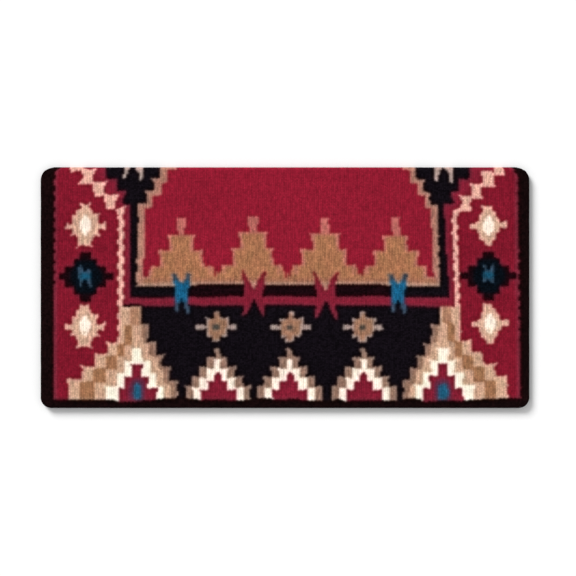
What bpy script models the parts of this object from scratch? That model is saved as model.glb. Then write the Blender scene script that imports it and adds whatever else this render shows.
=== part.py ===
"""A wool saddle blanket, folded once, lying flat with its pattern up.

X runs along the fold, Y from the woven end towards the fold, Z up. The origin is the middle
of the underside. Pattern sizes are a distance from the pattern's axis (along X) and a height
above the woven end (along Y). Each colour area is a tile through the cloth's full thickness.
"""

import math

import bmesh
import bpy

# The cloth, in metres
THICKNESS = 0.0065
GAP = 0.0003
END_CORNER_RADIUS = 0.020
FOLD_CORNER_RADIUS = 0.029
RIM_ROUNDING = 0.0022
MARGIN = 0.02
CORNER_STEPS = 7
FOLD_STEPS = 10

# Claws at a block's corners, teeth and waves along a straight edge
CLAW_REACH = 0.0020
CLAW_RISE = 0.0028
TOOTH = 0.0011
TOOTH_PITCH = 0.0196
WAVE = 0.0012
WAVE_PITCH = 0.0232

# Rows of the pattern, stacked from the woven end up to the fold
END_BORDER = 0.0155
ARCH_RISES = (0.0294, 0.0159, 0.0170, 0.0172, 0.0161)
ARCH_TO_STAR = 0.0100
STAR_ARM = (0.0060, 0.0294)
STAR_TO_BAND = 0.0099
RED_BAND = 0.0168
BLACK_BAND = 0.0215
TAN_BAND = 0.0169
PYRAMID_RISES = (0.0233, 0.0309, 0.0281, 0.0299)
FIELD_ABOVE = 0.08655

# Columns, stacked from the pattern's axis outwards
PYRAMID_HALVES = (0.0084, 0.0252, 0.0430, 0.0575)
PYRAMID_ROOM = 0.0080
SIDE_ROOM = 0.0055
TAN_SIDE = 0.0135
BLACK_SIDE = 0.0125
RED_SIDE = 0.0130
STRIPE_WIDTH = 0.0125
DIAMOND_HALVES = (0.0095, 0.0204, 0.0385, 0.0480)
DIAMOND_CLAW = 0.0012
LEFT_PANEL_ROOM = 0.0113
RIGHT_PANEL_ROOM = 0.00605
LEFT_BORDER_WIDTH = 0.0240
RIGHT_BORDER_WIDTH = 0.0205

# Cream step line: a chain of blocks at the fold that ends in a wavy stripe
STRIPE_DROP = 0.06765
CHAIN_START = 0.0040
CHAIN_WIDTH = 0.0276
CHAIN_RUN = 0.0217
CHAIN_RISE = 0.0232
CHAIN_LAP = 0.0045
CHAIN_TAPER = 0.0028
CHAIN_WAIST = 0.0056
CHAIN_BLOCKS = 3

# The black frame's stepped corner: reaches past the red side and drops below the fold
LEDGE_REACH, LEDGE_REACH_HIGH = 0.0130, 0.0340
LEDGE_DROP, LEDGE_DROP_HIGH = 0.03725, 0.01275
CORNER_DROP = 0.06285

# The tan frame's stepped sides and the notches between its pyramids
STAIR_DROP = 0.06155
STAIR_START = 0.0015
STAIR_WIDTH = 0.0142
STAIR_RUN = 0.0136
STAIR_RISE = 0.0230
STAIR_LAP = 0.0070
STAIR_BLOCKS = 4
NOTCH_HALF = 0.0038
NOTCH_RISE = 0.0110

# Hooked figures that cross the frame, blue outer ones and red inner ones: tops and upper
# notches above the tan line's base, ends below and lower notches above the red band's base
BLUE_HALF, BLUE_RISE, BLUE_DROP = 0.0150, 0.0225, 0.0133
BLUE_NOTCH, BLUE_LOW_NOTCH = 0.0094, 0.0122
RED_HALF, RED_RISE, RED_DROP = 0.0206, 0.0318, 0.0178
RED_NOTCH, RED_LOW_NOTCH = 0.0009, 0.0056
PRONG = 0.0062
HOOK_WAIST_SHARE = 0.84
PRONG_MIDDLE_SHARE = 0.6

# Fangs that hang from the fold
OUTER_FANG_ROOT, INNER_FANG_ROOT = 0.0115, 0.0150
OUTER_FANG_LEAN, INNER_FANG_LEAN = 0.0020, 0.0100
OUTER_FANG_INSET, INNER_FANG_INSET = 0.0005, 0.0050
FANG_LENGTH = 0.01775

# Small stars on the black ground
STAR_BODY = (0.0215, 0.0165)
STAR_DART = (0.0385, 0.0052)

# Small arches at the end: half widths from the top tier down, rises from the end up
ARCH_INNER_HALVES = (0.0072, 0.0196, 0.0362, 0.0484)
ARCH_ROOM = 0.0063
ARCH_WHITE_HALVES = (0.0052, 0.0184, 0.0335, 0.0470)
ARCH_WHITE_RISES = (0.0219, 0.0201, 0.0165, 0.0168)
ARCH_RED_HALVES = (0.0056, 0.0178, 0.0327)
ARCH_RED_RISES = (0.0168, 0.0154, 0.0189)
SMALL_CLAW_SHARE = 0.3

# Corner arches. The outer side goes down beside the red panel, from the stripe's outer edge.
# The inner side goes down to the black ground, from the outer hooked figure's middle.
CORNER_OUTER_REACHES = (0.0229, 0.0459, 0.0706, 0.0970)
CORNER_OUTER_RISES = (0.0425, 0.0226, 0.0247, 0.0219)
CORNER_INNER_REACHES = (0.0717, 0.0590, 0.0420, 0.0281, 0.0153, 0.0030)
CORNER_INNER_RISES = (0.0350, 0.0275, 0.0230, 0.0227, 0.0329)
CORNER_LEAN = 0.0050
CORNER_WHITE_HALVES = (0.0108, 0.0237, 0.0360, 0.0545)
CORNER_WHITE_RISES = (0.0275, 0.0225, 0.0224, 0.0228)
CORNER_RED_HALVES = (0.0112, 0.0239, 0.0368)
CORNER_RED_RISES = (0.0193, 0.0232, 0.0235)
CORNER_BLUE_HALF, CORNER_BLUE_RISE = 0.0095, 0.0345

# Figures in the red side panels
PANEL_LIFT = 0.0181
PANEL_FIGURE_ROOM = 0.0022
PANEL_STAR_HALVES = (0.0088, 0.0140, 0.0225)
PANEL_STAR_TOPS = (0.0410, 0.0290, 0.0175)
PANEL_STAR_DART = (0.0372, 0.0062)
DIAMOND_TOPS = (0.0460, 0.0325, 0.0185, 0.0058)
DIAMOND_HOOK_HALF, DIAMOND_HOOK_TOP, DIAMOND_HOOK_NOTCH = 0.0130, 0.0196, 0.0110


def stacked(rises):
    """Heights of the tops of tiers on the end border, from the top tier down."""
    return [END_BORDER + sum(rises[: i + 1]) for i in reversed(range(len(rises)))]


# Heights above the woven end that follow from the sizes above
STAR_HEIGHT = END_BORDER + sum(ARCH_RISES) + ARCH_TO_STAR + STAR_ARM[1]
RED_BASE = STAR_HEIGHT + STAR_ARM[1] + STAR_TO_BAND
BLACK_BASE = RED_BASE + RED_BAND
TAN_BASE = BLACK_BASE + BLACK_BAND
TAN_TOP = TAN_BASE + TAN_BAND
FLAP_END = TAN_TOP + sum(PYRAMID_RISES) + FIELD_ABOVE
LAYER = THICKNESS + GAP
HINGE_Z = THICKNESS + GAP / 2
HINGE_HEIGHT = FLAP_END + GAP
DEPTH = HINGE_HEIGHT + HINGE_Z
STRIPE_TOP = FLAP_END - STRIPE_DROP
STAIR_TOP = FLAP_END - STAIR_DROP
CORNER_OUTER_TOPS = stacked(CORNER_OUTER_RISES)
CORNER_INNER_TOPS = stacked(CORNER_INNER_RISES)
STRIPE_END = CORNER_OUTER_TOPS[0] + GAP
DIAMOND_HEIGHT = (END_BORDER + FLAP_END) / 2 + PANEL_LIFT
PANEL_PITCH = PANEL_STAR_TOPS[0] + CLAW_RISE + PANEL_FIGURE_ROOM
PANEL_PITCH += DIAMOND_TOPS[0] + DIAMOND_CLAW

# Distances from the axis that follow from the sizes above
FIGURE_PITCH = 2 * (PYRAMID_HALVES[-1] + CLAW_REACH + PYRAMID_ROOM)
PLACES = [(i - 1.5) * FIGURE_PITCH for i in range(4)]
TAN_INNER = PLACES[3] + PYRAMID_HALVES[-1] + CLAW_REACH + SIDE_ROOM
TAN_OUTER = TAN_INNER + TAN_SIDE
BLACK_OUTER = TAN_OUTER + BLACK_SIDE
STRIPE_INNER = BLACK_OUTER + RED_SIDE
STRIPE_OUTER = STRIPE_INNER + STRIPE_WIDTH
CHAIN_OUTER = STRIPE_OUTER + CHAIN_START
STAIR_OUTER = TAN_INNER - STAIR_START
CORNER_MIDDLE = TAN_OUTER + CORNER_LEAN
CORNER_OUTER = [STRIPE_OUTER + reach for reach in CORNER_OUTER_REACHES]
CORNER_INNER = [PLACES[3] + reach for reach in CORNER_INNER_REACHES]
ARCH_TAN_HALVES = (*ARCH_INNER_HALVES, FIGURE_PITCH / 2 - ARCH_ROOM)
LEFT_PANEL = 2 * (DIAMOND_HALVES[-1] + DIAMOND_CLAW + LEFT_PANEL_ROOM)
RIGHT_PANEL = 2 * (DIAMOND_HALVES[-1] + DIAMOND_CLAW + RIGHT_PANEL_ROOM)
PANEL_MIDDLES = {
    "left": STRIPE_OUTER + LEFT_PANEL / 2,
    "right": STRIPE_OUTER + RIGHT_PANEL / 2,
}
LEFT_SIDE = LEFT_PANEL + LEFT_BORDER_WIDTH
RIGHT_SIDE = RIGHT_PANEL + RIGHT_BORDER_WIDTH
WIDTH = 2 * STRIPE_OUTER + LEFT_SIDE + RIGHT_SIDE
# The pattern's axis lies a little to the right of the blanket's middle.
AXIS = (LEFT_SIDE - RIGHT_SIDE) / 2
SIDES = {"left": -1, "right": 1}

BLACK, RED, TAN, CREAM = "black wool", "red wool", "tan wool", "cream wool"
WHITE, BLUE, GREY = "white wool", "blue wool", "grey wool"
COLOURS = {
    BLACK: (0.006, 0.005, 0.006),
    RED: (0.270, 0.012, 0.030),
    TAN: (0.450, 0.245, 0.110),
    CREAM: (0.800, 0.450, 0.290),
    WHITE: (0.900, 0.830, 0.680),
    BLUE: (0.008, 0.130, 0.260),
    GREY: (0.420, 0.320, 0.250),
}
WOOL_ROUGHNESS_SHARE = 0.95


def clear_scene():
    """Remove what the start-up file holds."""
    for obj in list(bpy.data.objects):
        bpy.data.objects.remove(obj, do_unlink=True)


def wool(colour):
    """The material of one dyed wool."""
    found = bpy.data.materials.get(colour)
    if found:
        return found
    made = bpy.data.materials.new(colour)
    made.use_nodes = True
    shader = made.node_tree.nodes["Principled BSDF"]
    shader.inputs["Base Color"].default_value = (*COLOURS[colour], 1)
    shader.inputs["Roughness"].default_value = WOOL_ROUGHNESS_SHARE
    shader.inputs["Metallic"].default_value = 0
    return made


def plan(points, side=1, axis=AXIS):
    """Plan positions of (distance from the axis, height above the end), mirrored for -1."""
    return [(axis + side * across, height - DEPTH / 2) for across, height in points]


def grown(outline, by):
    """The outline moved outwards, with mitred corners."""
    area = sum(
        ax * by_ - bx * ay
        for (ax, ay), (bx, by_) in zip(outline, outline[1:] + outline[:1])
    )
    ring = outline if area > 0 else outline[::-1]
    moved = []
    for before, here, after in zip(ring[-1:] + ring[:-1], ring, ring[1:] + ring[:1]):
        normals = []
        for (ax, ay), (bx, by_) in ((before, here), (here, after)):
            length = math.hypot(bx - ax, by_ - ay)
            normals.append(((by_ - ay) / length, (ax - bx) / length))
        (ax, ay), (bx, by_) = normals
        mitre = by / max(1 + ax * bx + ay * by_, 0.35)
        moved.append((here[0] + (ax + bx) * mitre, here[1] + (ay + by_) * mitre))
    return moved


def slab(name, outline, thickness, rim=0):
    """A closed flat mesh of this outline about z = 0; a rim rounds its edge."""
    curve = bpy.data.curves.new(name, "CURVE")
    curve.dimensions = "2D"
    curve.fill_mode = "BOTH"
    curve.extrude = thickness / 2 - rim
    curve.bevel_depth = rim
    curve.bevel_resolution = 1
    curve.offset = -rim
    spline = curve.splines.new("POLY")
    spline.points.add(len(outline) - 1)
    for point, (x, y) in zip(spline.points, outline):
        point.co = (x, y, 0, 1)
    spline.use_cyclic_u = True
    holder = bpy.data.objects.new(name + " outline", curve)
    mesh = bpy.data.meshes.new_from_object(holder)
    bpy.data.objects.remove(holder)
    work = bmesh.new()
    work.from_mesh(mesh)
    bmesh.ops.remove_doubles(work, verts=work.verts, dist=GAP / 100)
    bmesh.ops.recalc_face_normals(work, faces=work.faces)
    work.to_mesh(mesh)
    work.free()
    mesh.name = name
    return mesh


class Half:
    """One half of the folded blanket: an empty on the fold's axis that carries its pieces."""

    def __init__(self, name, level, parts, cutters):
        self.name, self.level, self.parts, self.cutters = name, level, parts, cutters
        self.hinge = bpy.data.objects.new(name, None)
        self.hinge.location = (0, HINGE_HEIGHT - DEPTH / 2, HINGE_Z)
        parts.objects.link(self.hinge)

    def place(self, name, mesh, colour, centre=(0, 0)):
        """Put a mesh in the layer as a named piece that moves with the hinge."""
        mesh.materials.clear()
        mesh.materials.append(wool(colour))
        piece = bpy.data.objects.new(name, mesh)
        piece.parent = self.hinge
        away = (centre[0], centre[1], self.level + THICKNESS / 2)
        piece.location = [a - b for a, b in zip(away, self.hinge.location)]
        self.parts.objects.link(piece)
        return piece

    def tile(self, name, outline, colour, cuts=(), centre=(0, 0)):
        """A colour area with straight walls, less the figures woven into it."""
        piece = self.place(name, slab(name, outline, THICKNESS), colour, centre)
        for cutter in cuts:
            self.boolean(piece, "DIFFERENCE", cutter)
        return piece

    def figure(self, name, outline, colour, cuts=(), centre=(0, 0)):
        """A tile and the cutter that makes room for it: (piece, cutter)."""
        piece = self.tile(name, outline, colour, cuts, centre)
        return piece, self.cutter(name + " room", grown(outline, GAP), centre)

    def cutter(self, name, outline, centre=(0, 0)):
        """A hidden prism taller than the cloth."""
        made = bpy.data.objects.new(name, slab(name, outline, 2 * THICKNESS))
        made.location = (*centre, self.level + THICKNESS / 2)
        made.hide_render = True
        made.display_type = "WIRE"
        self.cutters.objects.link(made)
        return made

    def boolean(self, piece, operation, cutter):
        """Cut a piece with a hidden prism."""
        cut = piece.modifiers.new(cutter.name, "BOOLEAN")
        cut.operation = operation
        cut.solver = "EXACT"
        cut.object = cutter


def zigzag(across, low, high, depth, pitch):
    """Points up a woven edge that steps in and out."""
    count = max(2, round((high - low) / (pitch / 2)))
    return [
        (across + depth * (-1) ** i, low + (high - low) * i / count)
        for i in range(count + 1)
    ]


def tiers(halves, tops, base, reach=CLAW_REACH, rise=CLAW_RISE):
    """The right side of a stepped figure, from its top to its base, with a claw at each step."""
    side, inner = [], 0
    for i, (half, top) in enumerate(zip(halves, tops)):
        if i:
            side.append((inner, top))
        side.append((half + reach, top + rise))
        inner = half
        side.append((half, tops[i + 1] if i + 1 < len(tops) else base))
    return [point for i, point in enumerate(side) if i == 0 or point != side[i - 1]]


def symmetric(side):
    """Close a figure whose right side is given from top to base."""
    return side + [(-x, y) for x, y in reversed(side)]


def shifted(side, across, mirror=1):
    """A figure's side moved to its middle, as distances from the axis."""
    return [(across + mirror * x, y) for x, y in side]


def outline_corners(reach):
    """The blanket's outline with rounded corners, up to a height above the end."""
    points = []
    for x, y, radius, start in (
        (WIDTH / 2, 0, END_CORNER_RADIUS, -math.pi / 2),
        (WIDTH / 2, reach, FOLD_CORNER_RADIUS, 0),
        (-WIDTH / 2, reach, FOLD_CORNER_RADIUS, math.pi / 2),
        (-WIDTH / 2, 0, END_CORNER_RADIUS, math.pi),
    ):
        middle_x = x - math.copysign(radius, x)
        middle_y = y + radius if y == 0 else y - radius
        for i in range(CORNER_STEPS + 1):
            angle = start + math.pi / 2 * i / CORNER_STEPS
            points.append(
                (
                    middle_x + radius * math.cos(angle),
                    middle_y + radius * math.sin(angle) - DEPTH / 2,
                )
            )
    return points


def hook(half, top, bottom, top_notch, bottom_notch):
    """(upper, lower) sides of a figure with two prongs up and two down, left to right."""
    waist = half * HOOK_WAIST_SHARE
    middle = (top_notch + bottom_notch) / 2
    upper = [
        (-waist, middle),
        (-half, top),
        (PRONG - half, top),
        (0, top_notch),
        (half - PRONG, top),
        (half, top),
        (waist, middle),
    ]
    lower = [
        (half, bottom),
        (half - PRONG, bottom),
        (0, bottom_notch),
        (PRONG - half, bottom),
        (-half, bottom),
    ]
    return upper, lower


def border_regions():
    """Plan regions of the left, right and end borders, and the panels' edges beside them."""
    far, end = WIDTH / 2 + MARGIN, -DEPTH / 2
    regions = {"border_end": [(-far, end - MARGIN), (far, end - MARGIN)]}
    regions["border_end"] += [(far, end + END_BORDER), (-far, end + END_BORDER)]
    edges = {}
    for name, side, width in (
        ("left", -1, LEFT_BORDER_WIDTH),
        ("right", 1, RIGHT_BORDER_WIDTH),
    ):
        inner = zigzag(
            WIDTH / 2 - width, END_BORDER + GAP, FLAP_END, TOOTH, TOOTH_PITCH
        )
        edges[name] = plan(shifted(inner, -GAP), side, axis=0)
        outer = [(far, FLAP_END), (far, END_BORDER + GAP)]
        regions["border_" + name] = plan(inner + outer, side, axis=0)
    return regions, edges


def add_borders(half, prefix=""):
    """The black edge, with a rounded rim."""
    whole = outline_corners(DEPTH)
    regions, edges = border_regions()
    for name, region in regions.items():
        mesh = slab(prefix + name, whole, THICKNESS, RIM_ROUNDING)
        piece = half.place(prefix + name, mesh, BLACK)
        half.boolean(
            piece, "INTERSECT", half.cutter(prefix + name + " region", region)
        )
    return edges


def chain_levels():
    """(outer, inner, top) of the step line's blocks, from the stripe up to the fold."""
    return [
        (
            CHAIN_OUTER + CHAIN_RUN * i,
            CHAIN_OUTER + CHAIN_RUN * i - CHAIN_WIDTH,
            STRIPE_TOP + CHAIN_RISE * i,
        )
        for i in range(CHAIN_BLOCKS + 1)
    ]


def step_line():
    """The cream line, as distances from the axis: up the inner side and down the outer one."""
    blocks = chain_levels()
    stripe_top = STRIPE_TOP - CHAIN_RISE
    inner = zigzag(STRIPE_INNER, STRIPE_END, stripe_top, WAVE, WAVE_PITCH)
    inner.append((STRIPE_INNER - CHAIN_TAPER, STRIPE_TOP))
    outer = zigzag(STRIPE_OUTER, STRIPE_END, stripe_top, WAVE, WAVE_PITCH)
    for below, (out, into, top) in zip(blocks, blocks[1:]):
        waist = into + CHAIN_WAIST
        inner.append((waist - CHAIN_TAPER / 2, below[2]))
        outer.append((below[0], below[2] - CHAIN_LAP))
        outer.append((out - CHAIN_TAPER, below[2] - CHAIN_LAP))
        if top > FLAP_END:
            share = (FLAP_END - below[2]) / CHAIN_RISE
            outer.append((out - CHAIN_TAPER * (1 - share), FLAP_END))
            inner.append((waist - CHAIN_WAIST * share, FLAP_END))
            break
        inner += [(waist, (top + below[2]) / 2), (into, top)]
    return inner + outer[::-1]


def middle_of_step_line():
    """A path inside the step line from the fold down to its end."""
    blocks = chain_levels()
    path = []
    for (low_out, _, low_top), (out, into, top) in zip(blocks, blocks[1:]):
        neck = (into + CHAIN_WAIST + low_out) / 2
        path.append((neck, low_top - CHAIN_LAP / 2))
        path.append(((out + into) / 2, min(top - CHAIN_RISE / 2, FLAP_END)))
    path[-1] = (path[-1][0], FLAP_END)
    middle = (STRIPE_INNER + STRIPE_OUTER) / 2
    down = [(middle, STRIPE_TOP - CHAIN_RISE), (middle, STRIPE_END + CHAIN_LAP)]
    return path[::-1] + down


def stair_levels():
    """(outer, inner, top) of the tan side blocks, from the lowest up to the fold."""
    return [
        (
            STAIR_OUTER - STAIR_RUN * i,
            STAIR_OUTER - STAIR_RUN * i - STAIR_WIDTH,
            STAIR_TOP + STAIR_RISE * (i + 1),
        )
        for i in range(STAIR_BLOCKS)
    ]


def terraces():
    """The tan frame: down the left outer side, along the base, up, and back over the pyramids."""
    outer = zigzag(TAN_OUTER, TAN_BASE, STAIR_TOP, TOOTH, TOOTH_PITCH)
    inner = [(TAN_INNER, TAN_TOP), (TAN_INNER - CLAW_REACH, STAIR_TOP - STAIR_LAP)]
    for out, into, top in stair_levels():
        low = top - STAIR_RISE
        if top > FLAP_END:
            outer += [(out, low), (out, FLAP_END)]
            inner += [(into, low - STAIR_LAP), (into, FLAP_END)]
            break
        outer += [(out, low), (out + CLAW_REACH, top)]
        inner += [(into, low - STAIR_LAP), (into, top - STAIR_LAP)]
    right = outer + inner[::-1]
    valley = shifted(
        [(-NOTCH_HALF, TAN_TOP), (0, TAN_TOP + NOTCH_RISE)]
        + [(NOTCH_HALF, TAN_TOP)],
        0,
    )
    crest = []
    tops = [TAN_TOP + sum(PYRAMID_RISES[: i + 1]) for i in (3, 2, 1, 0)]
    pyramid = tiers(PYRAMID_HALVES, tops, TAN_TOP)
    whole = [(-x, y) for x, y in reversed(pyramid)] + pyramid
    for i, centre in enumerate(PLACES):
        crest += shifted(whole, centre)
        if i < 3:
            crest += shifted(valley, centre + FIGURE_PITCH / 2)
    left = [(-x, y) for x, y in right]
    return right + crest[::-1] + left[::-1]


def middle_of_terraces():
    """A path inside the tan side, from the fold down to the base line."""
    middle = (TAN_INNER + TAN_OUTER) / 2
    path = [(middle, (TAN_BASE + TAN_TOP) / 2), (middle, STAIR_TOP - STAIR_RISE)]
    beside = TAN_INNER - CLAW_REACH
    for out, into, top in stair_levels():
        path.append(((out + beside) / 2, top - STAIR_RISE - STAIR_LAP / 2))
        beside = into
        if top > FLAP_END:
            path.append(((out + into) / 2, FLAP_END))
            break
        path.append(((out + into) / 2, top - STAIR_RISE / 2))
    return path[::-1]


def black_side():
    """The black frame's outer side, from the fold down to the red band."""
    corner = FLAP_END - CORNER_DROP
    band = zigzag(BLACK_OUTER, BLACK_BASE, corner, TOOTH, TOOTH_PITCH)[::-1]
    middle, high = STRIPE_INNER + LEDGE_REACH, STRIPE_INNER + LEDGE_REACH_HIGH
    return [
        (high, FLAP_END),
        (high, FLAP_END - LEDGE_DROP_HIGH),
        (middle + CLAW_REACH, FLAP_END - LEDGE_DROP_HIGH),
        (middle, FLAP_END - LEDGE_DROP),
        (STRIPE_INNER + CLAW_REACH, FLAP_END - LEDGE_DROP),
        (STRIPE_INNER, corner),
    ] + band


def fangs():
    """The two fangs of a side, as distances from the axis: root edges and tip."""
    outer = STRIPE_INNER + OUTER_FANG_INSET
    inner = TAN_OUTER + INNER_FANG_INSET
    tip = FLAP_END - FANG_LENGTH
    return {
        "outer": [(outer, FLAP_END), (outer - OUTER_FANG_ROOT, FLAP_END)]
        + [(outer - OUTER_FANG_LEAN, tip)],
        "inner": [(inner, FLAP_END), (inner - INNER_FANG_ROOT, FLAP_END)]
        + [(inner - INNER_FANG_LEAN, tip)],
    }


def blunt_star(body, arm, dart):
    """A star with four arms and clawed corners, as its right side from top to base."""
    (half, high), (arm_half, arm_high), (reach, dart_half) = body, arm, dart
    quarter = [
        (arm_half + CLAW_REACH / 2, arm_high),
        (arm_half, high - CLAW_RISE / 2),
        (half, high + CLAW_RISE / 2),
        (half - CLAW_REACH, dart_half * 2),
        (half + CLAW_REACH / 2, dart_half / 2),
        (reach - dart_half, dart_half),
        (reach, dart_half / 2),
    ]
    return quarter + [(x, -y) for x, y in reversed(quarter)]


def panel_star():
    """A serrated star: stepped tiers above and below a side dart."""
    reach, dart_half = PANEL_STAR_DART
    upper = tiers(PANEL_STAR_HALVES, PANEL_STAR_TOPS, dart_half)
    upper += [
        (PANEL_STAR_HALVES[-1], dart_half / 3),
        (reach - 2 * dart_half, dart_half / 3),
        (reach - dart_half, dart_half),
        (reach, dart_half / 4),
    ]
    return symmetric(upper + [(x, -y) for x, y in reversed(upper)])


def diamond():
    """A stepped diamond."""
    upper = tiers(DIAMOND_HALVES, DIAMOND_TOPS, 0, DIAMOND_CLAW, DIAMOND_CLAW)[:-1]
    return symmetric(upper + [(x, -y) for x, y in reversed(upper)])


def add_side_panels(half, edges, step_rooms, corner_rooms):
    """The red panels between the borders and the step lines, with their figures."""
    for name, side in SIDES.items():
        offset = PANEL_MIDDLES[name]
        rooms = [step_rooms[name], corner_rooms[name]]
        for where, height in (
            ("upper", DIAMOND_HEIGHT + PANEL_PITCH),
            ("lower", DIAMOND_HEIGHT - PANEL_PITCH),
        ):
            centre = plan([(offset, height)], side)[0]
            title = f"star_{name}_{where}"
            rooms.append(half.figure(title, panel_star(), CREAM, centre=centre)[1])
        centre = plan([(offset, DIAMOND_HEIGHT)], side)[0]
        upper, lower = hook(
            DIAMOND_HOOK_HALF,
            DIAMOND_HOOK_TOP,
            -DIAMOND_HOOK_TOP,
            DIAMOND_HOOK_NOTCH,
            -DIAMOND_HOOK_NOTCH,
        )
        blue, room = half.figure(
            f"diamond_hook_{name}", upper + lower, BLUE, centre=centre
        )
        rooms.append(
            half.figure(f"diamond_{name}", diamond(), BLACK, [room], centre)[1]
        )
        inner = plan(
            middle_of_step_line()
            + [
                (CORNER_OUTER[0] - CHAIN_LAP, CORNER_OUTER_TOPS[1]),
                (CORNER_OUTER[1] - CHAIN_LAP, CORNER_OUTER_TOPS[2]),
                (CORNER_OUTER[2] - CHAIN_LAP, CORNER_OUTER_TOPS[3]),
                (CORNER_OUTER[3] - 2 * CHAIN_LAP, END_BORDER + GAP),
            ],
            side,
        )
        half.tile(f"panel_{name}", edges[name] + inner, RED, rooms)


def corner_outline():
    """The tan corner arch: down its inner side, back along the end and up its outer side."""
    high = RED_BASE - GAP / 2
    points = [(STRIPE_INNER - WAVE - GAP, high), (CORNER_INNER[0], high)]
    for i, top in enumerate(CORNER_INNER_TOPS):
        points.append((CORNER_INNER[i] + CLAW_REACH, top))
        points.append((CORNER_INNER[i + 1] - CLAW_REACH, top + CLAW_RISE))
    base = END_BORDER + GAP
    points += [(CORNER_INNER[-1], base), (CORNER_OUTER[-1], base)]
    for i in range(len(CORNER_OUTER) - 1, -1, -1):
        top = CORNER_OUTER_TOPS[i]
        inside = CORNER_OUTER[i - 1] if i else STRIPE_INNER - WAVE - GAP
        points.append((CORNER_OUTER[i] + CLAW_REACH, top + CLAW_RISE))
        points.append((inside, top))
    return points


def stepped_arch(halves, rises, claw_share=1):
    """A stepped arch that stands on the end border."""
    reach, rise = CLAW_REACH * claw_share, CLAW_RISE * claw_share
    return symmetric(tiers(halves, stacked(rises), END_BORDER + GAP, reach, rise))


def add_nested(half, title, across, bands, side=1, outer_cut=None):
    """Arches inside one another, innermost first: the cutter of the outermost."""
    room = outer_cut
    for name, colour, outline in bands:
        moved = plan(shifted(outline, across), side)
        cuts = [room] if room else []
        room = half.figure(f"{name}_{title}", moved, colour, cuts)[1]
    return room


def corner_bands():
    """The corner arch's inner bands, innermost first."""
    return [
        ("corner_blue", BLUE, stepped_arch((CORNER_BLUE_HALF,), (CORNER_BLUE_RISE,))),
        ("corner_red", RED, stepped_arch(CORNER_RED_HALVES, CORNER_RED_RISES)),
        ("corner_white", WHITE, stepped_arch(CORNER_WHITE_HALVES, CORNER_WHITE_RISES)),
    ]


def add_frame(half, step_rooms):
    """The black, red and tan frames, the hooked figures and the red field: their rooms."""
    blue_hook = sum(
        hook(
            BLUE_HALF,
            TAN_BASE + BLUE_RISE,
            RED_BASE - BLUE_DROP,
            TAN_BASE + BLUE_NOTCH,
            RED_BASE + BLUE_LOW_NOTCH,
        ),
        [],
    )
    blue_rooms = [
        half.figure(f"blue_hook_{name}", plan(shifted(blue_hook, across)), BLUE)[1]
        for name, across in (("left", PLACES[0]), ("right", PLACES[3]))
    ]
    red_ends = (TAN_BASE + RED_RISE, RED_BASE - RED_DROP)
    red_notches = (TAN_BASE + RED_NOTCH, RED_BASE + RED_LOW_NOTCH)
    upper, lower = hook(RED_HALF, *red_ends, *red_notches)
    red_rooms = [
        half.cutter(f"red hook room {i}", grown(plan(shifted(upper + lower, x)), GAP))
        for i, x in enumerate(PLACES[1:3])
    ]
    hooks = [blue_rooms[0], *red_rooms, blue_rooms[1]]

    tan, tan_room = half.figure("terraces", plan(terraces()), TAN, hooks)
    side = middle_of_terraces()
    field = side + [(-x, y) for x, y in reversed(side)]
    half.tile("centre_field", plan(field), RED, [tan_room])

    fang_rooms = {}
    for name, side_sign in SIDES.items():
        fang_rooms[name] = [
            half.figure(
                f"fang_{name}_{where}",
                plan(outline, side_sign),
                GREY,
            )[1]
            for where, outline in fangs().items()
        ]

    base = (TAN_BASE + TAN_TOP) / 2
    black_rooms = {}
    for name, side_sign in SIDES.items():
        outline = black_side() + [(PLACES[3], BLACK_BASE), (PLACES[3], base)]
        outline = plan(outline + middle_of_terraces()[::-1], side_sign)
        hook_room = blue_rooms[0 if name == "left" else 1]
        cuts = [tan_room, hook_room, *fang_rooms[name]]
        half.tile(f"black_frame_{name}", outline, BLACK, cuts)
        black_rooms[name] = half.cutter(f"black frame room {name}", grown(outline, GAP))
    bands = ("black_frame_mid_left", "black_frame_middle", "black_frame_mid_right")
    for i, name in enumerate(bands):
        low, high = PLACES[i], PLACES[i + 1]
        corners = [(low, BLACK_BASE), (high, BLACK_BASE), (high, base), (low, base)]
        half.tile(name, plan(corners), BLACK, [tan_room, hooks[i], hooks[i + 1]])

    top, bottom = BLACK_BASE - GAP, RED_BASE + GAP / 2
    for name, side_sign in SIDES.items():
        path = middle_of_step_line()[:-1]
        ends_at = PLACES[3] + BLUE_HALF * PRONG_MIDDLE_SHARE
        outline = path + [(path[-1][0], bottom), (ends_at, bottom)]
        inside = (TAN_OUTER + BLACK_OUTER) / 2
        outline += [(ends_at, top), (inside, top), (inside, FLAP_END)]
        cuts = [step_rooms[name], black_rooms[name]]
        cuts.append(blue_rooms[0 if name == "left" else 1])
        half.tile(f"red_frame_{name}", plan(outline, side_sign), RED, cuts)
    # The middle band and the two red hooked figures are one area. These are their sides
    # where they leave the band.
    waist = RED_HALF * HOOK_WAIST_SHARE
    middle = sum(red_notches) / 2
    slope = (RED_HALF - waist) / (middle - red_ends[1])
    side_top, side_low = (waist + slope * (middle - level) for level in (top, bottom))
    join_top = [(-side_top, top)] + upper + [(side_top, top)]
    join_low = [(side_low, bottom)] + lower + [(-side_low, bottom)]
    ends_at = PLACES[3] - BLUE_HALF * PRONG_MIDDLE_SHARE
    outline = [(-ends_at, top)]
    outline += shifted(join_top, PLACES[1]) + shifted(join_top, PLACES[2])
    outline += [(ends_at, top), (ends_at, bottom)]
    outline += shifted(join_low, PLACES[2]) + shifted(join_low, PLACES[1])
    outline += [(-ends_at, bottom)]
    half.tile("red_frame_middle", plan(outline), RED, blue_rooms)
    return hooks


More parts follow.
